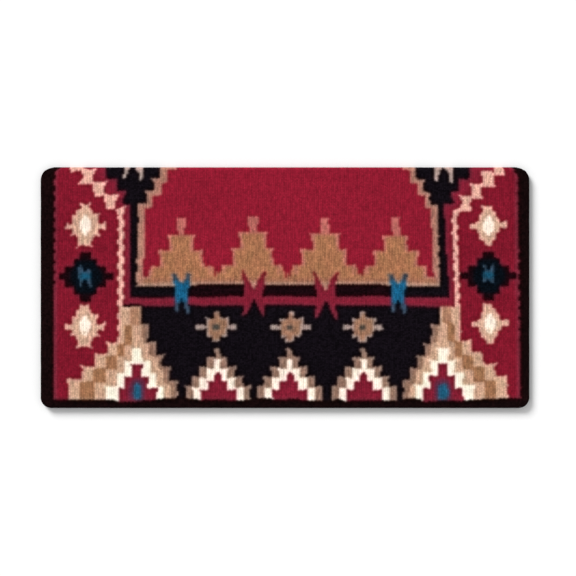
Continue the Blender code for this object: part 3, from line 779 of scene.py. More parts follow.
@dataclass(frozen=True)
class SidePanels:
    """The crimson panels at the sides, which reach in under the stepped lines.

    Attributes:
        left: The left panel.
        right: The right one.
        left_edge: The strip by the left border, in a crimson of its own.
        right_edge: The same by the right border.
    """

    left: Outline = (
        (-496.5, 501), (-399, 501), (-399, 454.5), (-384, 447), (-369, 430), (-357.5, 421),
        (-346.5, 409.5), (-335.5, 398.5), (-324, 385), (-314.5, 374), (-307, 363),
        (-307, -22.5), (-496.5, -22.5),
    )
    right: Outline = (
        (515, 501), (401, 501), (401, 449), (389.5, 441.5), (378.5, 430), (367, 415),
        (357, 406), (346.5, 392.5), (337, 383.5), (326, 372), (317.5, 361), (318.5, 239.5),
        (325, 118), (325, -22.5), (515, -22.5),
    )
    left_edge: Outline = ((-470, 501), (-425, 501), (-427.5, -22.5), (-470, -22.5))
    right_edge: Outline = ((470, 501), (427.5, 501), (433.5, -22.5), (470, -22.5))

    def paint(self, cartoon: Cartoon) -> None:
        """Paints both panels.

        Args:
            cartoon: The cartoon to paint into.
        """
        cartoon.paint("panel_left", Yarn.PANEL, self.left)
        cartoon.paint("panel_right", Yarn.PANEL, self.right)
        cartoon.paint(None, Yarn.EDGE_RED, self.left_edge)
        cartoon.paint(None, Yarn.EDGE_RED, self.right_edge)


@dataclass(frozen=True)
class CentreField:
    """The crimson field inside its tan stepped frame, with four stepped pyramids at its foot.

    Attributes:
        left_stair: Steps of the tan frame by the fold, on the left.
        left_side: Ends of its left side, which waves.
        left_wave: Swing, period and crest of that wave.
        right_side: Ends of its right side.
        right_wave: Swing, period and crest of its wave.
        right_stair: Its steps on the right.
        field: The crimson field above the pyramids' feet.
        ledge: The camel band that the pyramids stand on.
        pyramids: Middle and tiers of each pyramid.
        foot: Where the pyramids run into the frame.
        claw: Claws of the pyramids' tiers.
        tip_claw: Claws of their tips.
        inset: How far a pyramid's camel core lies inside its rosy rim: at the left, the right and
            the top of a tier, and at the left and the right of its foot.
        core_drop: How much deeper the core goes.
        sill: The darker camel band under the ledge.
        hem_top: Upper edge of the sand-coloured hem at the foot of the frame.
        valleys: Crimson prongs between and beside the pyramids.
        sole: The frame's lower edge.
    """

    left_stair: Outline = (
        (-235, 501), (-235, 430), (-252.5, 430), (-244.5, 420.5), (-244, 406), (-263.5, 406),
        (-257, 397), (-256.5, 383.5), (-276.5, 382.5), (-274, 376),
    )
    left_side: tuple[Point, Point] = ((-274.0, 372.0), (-278.0, 228.0))
    left_wave: Triple = (1.6, 30.5, 352.0)
    right_side: tuple[Point, Point] = ((285.5, 374.0), (289.5, 228.0))
    right_wave: Triple = (1.4, 23.0, 345.0)
    right_stair: Outline = (
        (285.5, 374.5), (289.5, 379), (276, 380.5), (272.5, 381.5), (269.5, 391), (269.5, 396),
        (274, 402.5), (261, 403), (258.5, 410), (258.5, 420), (264.5, 427), (246.5, 426),
        (244.5, 440), (246, 501),
    )
    field: Outline = (
        (-201.5, 501), (-201.5, 446.5), (-219, 445.5), (-218.5, 421), (-231.5, 420),
        (-231.5, 397.5), (-246, 397), (-246.5, 374.5), (-260, 373.5), (-261, 333), (-264, 264),
        (276, 264), (274, 333), (272.5, 373), (262, 373.5), (261.5, 397), (248, 397.5),
        (247, 420), (234, 421), (233.5, 445), (221, 446), (221, 501),
    )
    ledge: Outline = ((-252, 264), (255, 264), (255, 242), (-252, 242))
    pyramids: tuple[tuple[float, Tiers], ...] = (
        (-193.9, (
            (-8.6, 8.1, 353.4, -5.6, 6.0), (-23.2, 22.9, 322.6, -21.4, 22.9),
            (-41.2, 38.6, 294.3, -38.6, 43.8), (-59.0, 55.4, 264.8, -58.1, 56.2),
        )),
        (-59.0, (
            (-11.2, 8.6, 356.0, -6.4, 7.9), (-25.8, 23.6, 326.9, -23.6, 25.1),
            (-39.0, 34.8, 298.1, -38.5, 38.6), (-56.2, 49.8, 266.7, -56.2, 50.6),
        )),
        (74.9, (
            (-9.0, 6.7, 354.2, -7.9, 8.2), (-24.7, 25.1, 324.3, -22.9, 27.0),
            (-44.2, 38.6, 296.2, -42.3, 40.5), (-56.9, 55.4, 266.7, -56.2, 56.2),
        )),
        (207.5, (
            (-7.9, 6.0, 354.6, -6.4, 8.6), (-23.6, 20.2, 320.5, -23.2, 22.1),
            (-41.6, 42.0, 294.0, -40.1, 38.6), (-56.2, 56.2, 265.5, -56.2, 56.2),
        )),
    )
    foot: float = 250.0
    claw: Claw = (3.4, 1.8, 9.5)
    tip_claw: Claw = (1.2, 1.6, 5.0)
    inset: tuple[float, ...] = (5.2, -5.2, -1.5, 5.2, -5.2)
    core_drop: float = 8.0
    sill: Outline = ((-262, 242), (280, 242), (285, 233), (-268, 233))
    hem_top: Outline = ((287, 234.5), (190, 236), (-165, 236), (-275, 234.5))
    valleys: tuple[Outline, ...] = (
        ((-135, 268), (-131, 246.5), (-127, 257), (-122, 246.5), (-118.5, 268)),
        ((-5, 268), (2, 243), (5, 252.5), (8.5, 244), (15, 268)),
        ((133, 268), (139.5, 244), (142.5, 254.5), (146, 244), (149.5, 268)),
        ((-265, 268), (-265, 245.5), (-254.5, 245.5), (-252, 268)),
        ((265, 268), (263.5, 245.5), (277.5, 245.5), (277, 268)),
    )
    sole: Outline = (
        (-278, 227.5), (-184, 227.7), (-170, 229), (-162, 231.3), (-60, 231.3), (-30, 230.8),
        (60, 230.8), (95, 231.2), (180, 231), (190, 230), (204, 227.8), (289.5, 227.5),
    )

    def paint(self, cartoon: Cartoon) -> None:
        """Paints the frame, the field and the pyramids.

        Args:
            cartoon: The cartoon to paint into.
        """
        left = wavy(*self.left_side, *self.left_wave)
        right = wavy(*self.right_side, *self.right_wave)
        tan = [*self.left_stair, *left, *self.sole, *right[::-1], *self.right_stair]
        cartoon.paint("terraces", Yarn.FRAME, tan)
        cartoon.paint("centre_field", Yarn.FIELD, self.field)
        cartoon.paint("terraces", Yarn.TERRACE, self.ledge)
        for middle, tiers in self.pyramids:
            top_tier, body = tiers[:1], tiers[1:]
            drawn = stepped(body, self.foot, self.claw)
            cartoon.paint("terraces", Yarn.BLUSH, drawn, (middle, 0.0))
            smaller = [tuple(map(sum, zip(tier, self.inset))) for tier in body]
            core = stepped(smaller, self.foot - self.core_drop, self.tip_claw)
            cartoon.paint("terraces", Yarn.TERRACE, core, (middle, 0.0))
            tip = stepped(top_tier, body[0][2], self.tip_claw)
            cartoon.paint("terraces", Yarn.ROSE, tip, (middle, 0.0))
        cartoon.paint("terraces", Yarn.SILL, self.sill)
        cartoon.paint("terraces", Yarn.HEM, (*self.sole, *self.hem_top))
        for valley in self.valleys:
            cartoon.paint("centre_field", Yarn.FIELD, valley)


@dataclass(frozen=True)
class StepLine:
    """The cream line beside a panel: stepped above, a wavy chain below.

    Attributes:
        area: Name of its area.
        outer: Points of its steps by the panel, from the fold down.
        outer_chain: Ends of the chain's edge by the panel.
        inner_chain: Ends of its other edge.
        inner: Points of the steps by the black frame, from the chain up.
        swing: How far the chain waves to +X at a crest.
        period: Height of one wave.
        crest: Height of one crest.
    """

    area: str
    outer: Outline
    outer_chain: tuple[Point, Point]
    inner_chain: tuple[Point, Point]
    inner: Outline
    swing: float
    period: float
    crest: float

    def paint(self, cartoon: Cartoon) -> None:
        """Paints the line.

        Args:
            cartoon: The cartoon to paint into.
        """
        wave = (self.swing, self.period, self.crest)
        outer = wavy(*self.outer_chain, *wave)
        inner = wavy(*self.inner_chain, *wave)
        cartoon.paint(self.area, Yarn.LINE, [*self.outer, *outer, *inner[::-1], *self.inner])


LEFT_STEP_LINE = StepLine(
    area="step_line_left",
    outer=(
        (-404.5, 501), (-404.5, 452.5), (-400, 439), (-393.5, 442.5), (-381, 444), (-377, 434),
        (-378.5, 428), (-389, 418.5), (-360, 418), (-359, 411.5), (-356, 395.5), (-338, 396),
        (-336.5, 385), (-335.5, 372.5), (-317.5, 372), (-314.5, 368),
    ),
    outer_chain=((-310.6, 361.0), (-312.6, 112.0)),
    inner_chain=((-301.0, 361.0), (-302.8, 112.0)),
    inner=(
        (-298, 377), (-310, 372.5), (-316, 370), (-316.5, 385), (-310, 400.5), (-324, 398.5),
        (-336.5, 399), (-338, 411.5), (-331.5, 424), (-346.5, 422), (-359, 422.5), (-360.5, 432),
        (-351.5, 448.5), (-367, 446), (-378.5, 449), (-378.5, 501),
    ),
    swing=2.4,
    period=23.1,
    crest=346.0,
)

RIGHT_STEP_LINE = StepLine(
    area="step_line_right",
    outer=(
        (390.5, 501), (390.5, 450.5), (390.5, 437.5), (387.5, 443), (365, 443), (369.5, 430),
        (368.5, 420), (361.5, 418), (345, 419.5), (349.5, 407.5), (348.5, 397), (341, 395.5),
        (325.5, 398), (331.5, 385), (328, 374.5), (314.5, 368.5),
    ),
    outer_chain=((312.0, 359.0), (321.5, 112.0)),
    inner_chain=((321.5, 359.0), (329.5, 112.0)),
    inner=(
        (325, 365), (332.5, 367.5), (349.5, 367.5), (346, 381.5), (348.5, 391), (369.5, 391),
        (366, 402), (367, 413.5), (393, 413.5), (389, 426.5), (389.5, 434.5), (413, 434.5),
        (411.5, 501),
    ),
    swing=-1.6,
    period=21.6,
    crest=349.5,
)


@dataclass(frozen=True)
class Fangs:
    """The small grey fangs that hang from the fold inside the stepped lines.

    Attributes:
        outlines: Area and outline of each.
    """

    outlines: tuple[tuple[str, Outline], ...] = (
        ("fang_left_outer", (
            (-298.5, 501), (-288, 501), (-291, 449), (-293, 441.5), (-295.5, 435.5),
            (-297.5, 429.5), (-301.5, 428.5), (-302.5, 435), (-301, 441.5), (-298.5, 448),
        )),
        ("fang_left_inner", (
            (-281, 501), (-263, 501), (-263.5, 445), (-264.5, 437.5), (-266, 432),
            (-267.5, 425.5), (-270.5, 425.5), (-272, 434), (-274.5, 440.5), (-278, 446),
        )),
        ("fang_right_inner", (
            (277.5, 501), (294.5, 501), (292.5, 449), (289.5, 441.5), (287, 435),
            (285.5, 429), (284.5, 424.5), (280.5, 424.5), (280, 430), (280.5, 437.5), (279, 447),
        )),
        ("fang_right_outer", (
            (295.5, 501), (313, 501), (313, 447), (315, 439.5), (313.5, 433), (313, 428),
            (313.5, 421.5), (308, 421.5), (307.5, 430), (306, 437.5), (302, 444), (298, 449),
        )),
    )

    def paint(self, cartoon: Cartoon) -> None:
        """Paints the four fangs."""
        for area, outline in self.outlines:
            cartoon.paint(area, Yarn.FANG, outline)


@dataclass(frozen=True)
class Hooks:
    """The row of four forked hooks across the bands: blue at the ends, crimson between.

    Attributes:
        blue: Outline of a blue hook.
        blue_tips: Its four tips, which are slate.
        red: Outline of a crimson hook.
        notch: The black notch between a hook's legs.
        wedge: The sand-coloured wedge between a crimson hook's arms.
        blue_places: Area and middle of each blue hook.
        red_places: Middles of the crimson ones, which belong to the crimson band.
    """

    blue: Outline = (
        (-18.5, 37.5), (-11, 38), (-7, 29), (-2.5, 21), (2, 20), (6.5, 29), (9.5, 38.5),
        (17.5, 38), (16, 27), (13.5, 14), (12.5, 0), (12.5, -14), (15, -36), (8.5, -36.5),
        (5.5, -20), (0.5, -9.5), (-5, -20), (-7.5, -33), (-14.5, -32.5), (-12, -14),
        (-12, 0), (-13.5, 14),
    )
    blue_tips: tuple[Outline, ...] = (
        ((-18.5, 37.5), (-11, 38), (-7, 29), (-5.5, 25), (-15.4, 25)),
        ((9.5, 38.5), (17.5, 38), (15.7, 25), (4.8, 25), (6.5, 29)),
        ((-7.5, -33), (-14.5, -32.5), (-12.2, -16), (-3.2, -16)),
        ((15, -36), (8.5, -36.5), (4, -16), (12.6, -16)),
    )
    red: Outline = (
        (-24.5, 47.5), (-19.5, 42), (-12.5, 26.5), (-4, 15), (-1.5, 8.5), (1, 8.5), (3, 15),
        (6, 24.5), (14, 38.5), (24, 44.5), (19.5, 30), (17.5, 11), (15.5, -3.5),
        (18.5, -22.5), (20, -45.5), (13, -37.5), (6.5, -22.5), (0, -9), (-7.5, -22.5),
        (-15, -38.5), (-22.5, -41.5), (-19, -22.5), (-18, -5.5), (-19.5, 11), (-21.5, 28),
    )
    notch: Outline = ((0, -8), (5.5, -22.5), (-6.5, -22.5))
    wedge: Outline = ((-11, 24), (6.5, 24), (3, 14), (1, 9), (-2, 9), (-5, 14))
    blue_places: tuple[tuple[str, Point], ...] = (
        ("blue_hook_left", (-193.0, 213.2)),
        ("blue_hook_right", (211.9, 212.3)),
    )
    red_places: tuple[Point, ...] = ((-57.1, 213.2), (77.0, 210.5))

    def paint(self, cartoon: Cartoon) -> None:
        """Paints the hooks.

        Args:
            cartoon: The cartoon to paint into.
        """
        for area, place in self.blue_places:
            cartoon.paint(area, Yarn.BLUE, self.blue, place)
            for tip in self.blue_tips:
                cartoon.paint(None, Yarn.HOOK_TIP, tip, place)
            cartoon.paint("black_ground", Yarn.GROUND, self.notch, place)
        for place in self.red_places:
            cartoon.paint("terraces", Yarn.HEM, self.wedge, place)
            cartoon.paint("red_frame_middle", Yarn.BAND, self.red, place)
            cartoon.paint("black_ground", Yarn.GROUND, self.notch, place)


@dataclass(frozen=True)
class SmallStars:
    """The three small stars on the black ground.

    Attributes:
        star: Outline of a star with its grey arms.
        body: The tan inside it.
        dot: The slate dot in its middle.
        places: Area and middle of each star.
    """

    star: Outline = (
        (-4, 30.5), (6.5, 30.5), (6, 19.5), (13, 16.5), (26, 19.5), (24, 10), (24, 5),
        (37.5, 6.5), (38.5, -3.5), (29, -5), (22, -3), (20.5, -9), (19.5, -18.5), (8, -16),
        (7, -26.5), (-8.5, -27.5), (-7.5, -17.5), (-18.5, -19), (-17, -6), (-20.5, -2.5),
        (-25, -4.5), (-38.5, -4.5), (-37, 6), (-24.5, 5), (-20, 2), (-17, 8), (-20, 18.5),
        (-8, 15.5), (-4, 19),
    )
    body: Outline = (
        (-3, 28), (5.5, 28), (5, 17.5), (21, 15), (17, -14), (6, -15), (5, -24), (-6, -24),
        (-6, -15), (-15, -15), (-15, 14.5), (-4, 17),
    )
    dot: Outline = ((-6.5, 4.5), (6, 4.5), (6, -4.5), (-6.5, -4.5))
    places: tuple[tuple[str, Point], ...] = (
        ("small_star_left", (-128.5, 150.9)),
        ("small_star_middle", (9.6, 150.3)),
        ("small_star_right", (145.0, 150.3)),
    )

    def paint(self, cartoon: Cartoon) -> None:
        """Paints the stars.

        Args:
            cartoon: The cartoon to paint into.
        """
        for area, place in self.places:
            cartoon.paint(area, Yarn.STAR_ARM, self.star, place)
            cartoon.paint(None, Yarn.SMALL_STAR, self.body, place)
            cartoon.paint(None, Yarn.SLATE, self.dot, place)


@dataclass(frozen=True)
class BorderArches:
    """The three stepped arches on the end border: tan, then white, then crimson.

    Attributes:
        leaf: The leaf on top.
        tan: Tiers of the tan outline.
        white: Tiers of the white band.
        red: Tiers of the crimson core.
        peak: The core's tip.
        foot: Where the arches end below.
        claws: Claws of the tan, the white and the crimson tiers.
        middles: Side and middle of each arch, and how far its tip leans over to +X.
    """

    leaf: Outline = ((-8.5, 111), (0.5, 112), (6, 98), (8.5, 84), (-6, 84), (-5, 98))
    tan: Tiers = (
        (-20.5, 16.0, 93.0), (-35.5, 31.5, 76.5, -35.5, 29.5), (-49.0, 44.5, 58.0, -50.5, 47.5),
        (-60.5, 59.5, 40.5, -61.0, 60.5),
    )
    white: Tiers = (
        (-6.7, 4.0, 90.5), (-21.5, 17.8, 73.0), (-34.8, 31.7, 56.0), (-48.0, 47.0, 37.5),
    )
    red: Tiers = ((-19.3, 15.2, 48.5), (-33.2, 32.4, 33.0, -31.0, 32.4))
    peak: Outline = (
        (-1.5, 67.5), (1.2, 67.5), (5.6, 62.5), (6.2, 57), (6.2, 46), (-6.2, 46), (-6.2, 57),
        (-5.6, 62.5),
    )
    foot: float = 8.0
    claws: tuple[Claw, Claw, Claw] = ((2.2, 2.4, 7.0), (0.8, 1.6, 3.5), (1.5, 1.8, 4.0))
    middles: tuple[tuple[str, float, float], ...] = (
        ("left", -124.6, -1.0), ("middle", 9.6, 1.0), ("right", 148.3, -1.4),
    )

    def paint(self, cartoon: Cartoon) -> None:
        """Paints the arches.

        Args:
            cartoon: The cartoon to paint into.
        """
        layers = (
            ("tan", Yarn.ARCH, self.tan, self.claws[0]),
            ("white", Yarn.WHITE, self.white, self.claws[1]),
            ("red", Yarn.BAND, self.red, self.claws[2]),
        )
        for side, middle, lean in self.middles:
            cartoon.paint(f"arch_tan_{side}", Yarn.ARCH, self.leaf, (middle, 0.0))
            for colour, yarn, tiers, claw in layers:
                drawn = stepped(tiers, self.foot, claw)
                cartoon.paint(f"arch_{colour}_{side}", yarn, drawn, (middle, 0.0))
            cartoon.paint(f"arch_red_{side}", Yarn.BAND, self.peak, (middle + lean, 0.0))


@dataclass(frozen=True)
class CornerArch:
    """The large stepped arch in a lower corner, banded from sand to white, crimson and blue.

    Attributes:
        side: Which corner.
        sand: The whole arch.
        camel: The camel band inside the sand.
        neck: The oat-coloured top of the arch.
        taupe: The shaded side by the black ground.
        white: Tiers of the white band.
        red: Tiers of the crimson core.
        plum: The plum ring in the core.
        blue: The blue heart.
        foot: Where the bands end below.
        claws: Claws of the white and of the crimson tiers.
    """

    side: str
    sand: Outline
    camel: Outline
    neck: Outline
    taupe: Outline
    white: Tiers
    red: Tiers
    plum: Outline
    blue: Outline
    foot: float = 8.0
    claws: tuple[Claw, Claw] = ((1.4, 1.0, 2.2), (2.2, 1.8, 4.0))

    def paint(self, cartoon: Cartoon) -> None:
        """Paints the arch.

        Args:
            cartoon: The cartoon to paint into.
        """
        cartoon.paint(f"corner_tan_{self.side}", Yarn.SAND, self.sand)
        cartoon.paint(None, Yarn.CAMEL, self.camel)
        cartoon.paint(None, Yarn.OAT, self.neck)
        cartoon.paint(None, Yarn.TAUPE, self.taupe)
        white = stepped(self.white, self.foot, self.claws[0])
        red = stepped(self.red, self.foot, self.claws[1])
        cartoon.paint(f"corner_white_{self.side}", Yarn.SNOW, white)
        cartoon.paint(f"corner_red_{self.side}", Yarn.BAND, red)
        cartoon.paint(None, Yarn.PLUM, self.plum)
        cartoon.paint(f"corner_blue_{self.side}", Yarn.STEEL, self.blue)


LEFT_CORNER = CornerArch(
    side="left",
    sand=(
        (-301.5, 189.5), (-270, 189.5), (-268.5, 158), (-254.5, 158), (-257, 149),
        (-257, 122), (-238.5, 125), (-242, 115), (-242, 98), (-224, 100.5), (-228, 93),
        (-232, 84), (-231.5, 76), (-211, 78), (-214, 70), (-218, 62), (-217.5, 51), (-198, 51),
        (-201, 43), (-203.9, 36), (-200, 30), (-200, 24), (-204, 11), (-406.5, 11),
        (-404.5, 43), (-410, 57), (-396.5, 54), (-380.5, 55), (-378, 73), (-382.5, 80.5),
        (-370, 77.5), (-356, 78), (-354.5, 95), (-358, 104.5),
        (-346, 101), (-333, 102), (-332, 117), (-335.5, 125.5), (-322, 122), (-311, 123),
        (-308, 146), (-309, 189.5),
    ),
    camel=(
        (-289, 189.5), (-270, 189.5), (-270, 155), (-286, 155), (-286, 118), (-299.5, 118),
        (-299.5, 96.5), (-313, 96.5), (-313, 72), (-334.5, 72), (-334.5, 48), (-356.5, 48),
        (-356.5, 11), (-383, 11), (-383, 48.5), (-359, 50.5), (-357.5, 74), (-335.5, 75),
        (-334.5, 97), (-313.5, 98.5), (-312, 119.5), (-301, 120.5), (-300, 154.5),
        (-288.5, 155),
    ),
    neck=((-290, 190), (-269, 190), (-269, 154), (-290, 154)),
    taupe=(
        (-268.5, 157), (-254.5, 158), (-257, 123.5), (-238.5, 125), (-242, 115), (-242, 99),
        (-224, 100.5), (-228, 93), (-232, 84), (-231.5, 77), (-211, 78), (-214, 70), (-218, 62),
        (-217.5, 52), (-198, 51), (-201, 43), (-203.9, 36), (-200, 30), (-204, 11), (-211.5, 11),
        (-213.5, 41), (-226, 48.5), (-226, 69), (-238, 76.5), (-239, 93.5), (-253, 99),
        (-253.5, 118), (-266.5, 125.5),
    ),
    white=(
        (-286.3, -268.5, 110.5, -285.5, -266.0), (-301.0, -252.5, 87.5), (-313.0, -241.5, 65.0),
        (-336.0, -228.0, 40.0),
    ),
    red=(
        (-285.0, -268.0, 80.5, -287.0, -269.5), (-298.5, -256.5, 58.0, -299.0, -258.0),
        (-309.5, -240.5, 36.8, -311.5, -242.0),
    ),
    plum=(
        (-291.5, 15.5), (-292.5, 32), (-291, 44), (-287, 52), (-281, 56), (-271, 56),
        (-263, 52), (-260, 44), (-262, 32), (-261, 15.5),
    ),
    blue=(
        (-282, 15.5), (-284.5, 28), (-283, 40), (-279.5, 47), (-275.5, 48), (-271, 46),
        (-268.5, 38), (-268, 26), (-269.5, 15.5),
    ),
    claws=((1.4, 1.0, 2.2), (3.2, 1.0, 12.0)),
)

RIGHT_CORNER = CornerArch(
    side="right",
    sand=(
        (320.5, 189.5), (288, 189.5), (288, 155), (271, 157.5), (274.5, 147),
        (273, 119.5), (257, 121.5), (261, 113.5), (260, 97), (244.5, 98), (248, 91),
        (247, 74.5), (231.5, 76.5), (235.5, 69), (234, 51.5), (218, 54), (220, 44), (222.5, 34),
        (220, 24), (219, 11), (417, 11), (417.5, 22), (415, 34), (417.5, 44), (413.5, 52),
        (416, 61), (404.5, 59.5), (393, 60), (392, 77), (398, 85.5), (382.5, 82), (372.5, 83),
        (369, 96), (367.5, 106), (356, 104.5), (350.5, 105), (349, 118.5), (348.5, 129),
        (335, 125.5), (327, 126), (325, 146), (328, 189.5),
    ),
    camel=(
        (294, 189.5), (310, 189.5), (310, 161), (317.5, 155), (318.5, 127), (331, 123.5),
        (332.5, 100), (350.5, 98), (351.5, 78.5), (372.5, 76.5), (374, 52.5), (395, 50.5),
        (395, 11), (372.5, 11), (372.5, 48.5), (353, 49.5), (351.5, 71), (332.5, 73),
        (331.5, 93.5), (317.5, 97), (316.5, 121.5), (304.5, 125.5), (304.5, 155), (294, 162.5),
    ),
    neck=((293, 190), (311, 190), (311, 160), (293, 163)),
    taupe=(
        (288, 155), (271, 157.5), (274.5, 147), (273, 120), (257, 121.5), (261, 113.5),
        (260, 98), (244.5, 98), (248, 91), (247, 75), (231.5, 76.5), (235.5, 69), (234, 52),
        (218, 54), (220, 44), (222.5, 34), (220, 24), (219, 11), (230.5, 11),
        (233, 41), (244.5, 48.5), (246, 69), (257.5, 76.5), (259, 93.5), (272.5, 99),
        (273.5, 118), (286, 125.5),
    ),
    white=(
        (284.8, 307.0, 111.5, 287.0, 303.0), (270.8, 318.5, 88.5, 275.0, 315.0),
        (259.0, 335.5, 66.5, 259.0, 330.0), (242.5, 354.5, 42.5, 242.5, 351.0),
    ),
    red=(
        (286.0, 303.0, 81.5, 287.0, 304.5), (269.0, 316.5, 59.5, 273.6, 319.0),
        (258.3, 330.5, 36.5, 260.3, 336.0),
    ),
    plum=(
        (280, 15.5), (278.5, 32), (279, 44), (283, 52), (289, 55.5), (300, 55.5), (306, 52),
        (310, 44), (311, 32), (311, 15.5),
    ),
    blue=(
        (287.5, 15.5), (286.5, 28), (287.2, 41), (291, 44), (296, 46.5), (301, 46), (305, 40),
        (306, 26), (304, 15.5),
    ),
)


@dataclass(frozen=True)
class PanelFigures:
    """The column of figures on each panel: a star, a black diamond with a blue hook, a star.

    Attributes:
        star: Outline of a star on the left panel.
        right_star: Outline of one on the right panel.
        heart: The white heart of a star.
        notch: The cream notch in the heart.
        diamond: Outline of a diamond.
        core: Its inside, in a bluer black.
        left_hook: The hook in the left diamond, with slate tips.
        right_hook: The hook in the right one.
        hook_body: The blue middle of a hook.
        stars: Area and middle of each star.
        diamonds: Side and middle of each diamond.
    """

    star: Outline = (
        (-8, 32), (-10.5, 43), (-3, 38.5), (2.5, 38.5), (9.5, 43.5), (7.5, 32), (12.5, 28.5),
        (14, 21.5), (26.5, 22.5), (23, 12.5), (23, 5.5), (27.5, 2), (32, 3.5), (38, 9.5),
        (37.5, -8), (30.5, -6.5), (25, -7), (23, -12), (29.5, -20.5), (18, -18.5),
        (14.5, -25.5), (10, -31), (14, -42), (4.5, -36.5), (0, -38.5), (-5, -36.5),
        (-17, -42.5), (-12.5, -31), (-14, -25), (-17.5, -18), (-27.5, -18.5), (-23, -10.5),
        (-24.5, -6.5), (-32.5, -6.5), (-38, -7), (-35, 6), (-29, 1.5), (-24.5, 2.5),
        (-23, 9.5), (-24.5, 20), (-16.5, 18.5), (-16.5, 29),
    )
    right_star: Outline = (
        (-13.5, 40), (-7, 36.5), (-1, 37), (5.5, 38), (6, 30.5), (12, 28), (13.5, 20),
        (18.5, 15), (20, 6.5), (25, 6), (33, 9), (36, 2), (35, -4), (27, -3.5), (21, -3),
        (22, -11), (15.5, -14), (14, -22.5), (8, -28), (7, -36), (2, -38), (-5, -36.5),
        (-8, -30), (-17, -24), (-19, -14), (-22, -7), (-25, -2), (-27, -8), (-33, -5),
        (-35.5, 5), (-27, 3.5), (-23, 6.5), (-18, 11), (-17, 20), (-12.5, 24), (-12, 31),
    )
    heart: Outline = (
        (-4, 18.5), (3, 20), (6, 13), (10, 8), (11, 0), (9, -9), (5, -12), (2, -19),
        (-3, -17), (-6, -12), (-9.5, -7), (-9, 0), (-11, 7), (-7, 10),
    )
    notch: Outline = ((-1.5, -8), (1.5, -8), (1.5, -14), (-1.5, -14))
    diamond: Outline = (
        (-10, 45), (10, 45), (9.5, 33), (20.5, 32), (20.5, 18.5), (38, 18.5), (38, 6.5),
        (51, 6.5), (51, -6.5), (38, -6.5), (39, -20), (20.5, -19.5), (20.5, -33.5),
        (9.5, -34.5), (9.5, -47), (-10, -47), (-9.5, -34.5), (-20.5, -33.5), (-20.5, -19.5),
        (-39, -20), (-38, -6.5), (-51, -6.5), (-51, 6.5), (-38, 6.5), (-38, 18.5),
        (-20.5, 18.5), (-20.5, 32), (-9.5, 33),
    )
    core: Outline = (
        (-18, 30), (18, 30), (24, 18), (30, 6), (30, -8), (22, -20), (16, -32), (-14, -32),
        (-22, -20), (-28, -8), (-28, 6), (-22, 18),
    )
    left_hook: Outline = (
        (-12.5, 20.5), (-7.5, 21.5), (-5, 14), (-1.9, 7.5), (1.9, 9.4), (4.7, 13), (9.4, 12.2),
        (10.3, 6.5), (9.4, -1), (8.4, -6.5), (12.2, -17.8), (11.2, -20.6), (6.6, -19.6),
        (2.8, -9.4), (-0.9, -5.6), (-5.6, -8.4), (-7.5, -19.6), (-12.2, -20.2), (-12.5, -8.4),
        (-13.1, 1), (-13.5, 10.3),
    )
    right_hook: Outline = (
        (-9.4, 20.6), (-6.2, 21.5), (-1.9, 10.3), (2.8, 10.3), (6.2, 21.5), (9.4, 20.6),
        (8.8, 10.3), (12.2, 1), (11.2, -6.5), (8.8, -14), (4.4, -14), (0.9, -7.5), (-3.7, -8.4),
        (-6.3, -15), (-10.3, -13.1), (-10.7, -2.8), (-7.9, 8.4),
    )
    hook_body: Outline = (
        (-9, 7), (8.5, 7), (9.4, 1), (8, -6), (-1, -5.5), (-5, -6.5), (-10, -5), (-10, 1),
    )
    stars: tuple[tuple[str, Point], ...] = (
        ("star_left_upper", (-373.1, 341.3)),
        ("star_left_lower", (-374.4, 153.0)),
        ("star_right_upper", (380.4, 340.3)),
        ("star_right_lower", (383.0, 157.1)),
    )
    diamonds: tuple[tuple[str, Point], ...] = (
        ("left", (-372.7, 245.9)),
        ("right", (380.2, 247.8)),
    )

    def paint(self, cartoon: Cartoon) -> None:
        """Paints the figures of both panels.

        Args:
            cartoon: The cartoon to paint into.
        """
        for area, place in self.stars:
            drawn = self.right_star if "right" in area else self.star
            cartoon.paint(area, Yarn.STAR, drawn, place)
            cartoon.paint(None, Yarn.WHITE, self.heart, place)
            cartoon.paint(None, Yarn.STAR, self.notch, place)
        for side, place in self.diamonds:
            hook = self.left_hook if side == "left" else self.right_hook
            cartoon.paint(f"diamond_{side}", Yarn.BAND_BLACK, self.diamond, place)
            cartoon.paint(None, Yarn.NIGHT_BLACK, self.core, place)
            cartoon.paint(f"diamond_hook_{side}", Yarn.HOOK_TIP, hook, place)
            cartoon.paint(None, Yarn.NIGHT, self.hook_body, place)


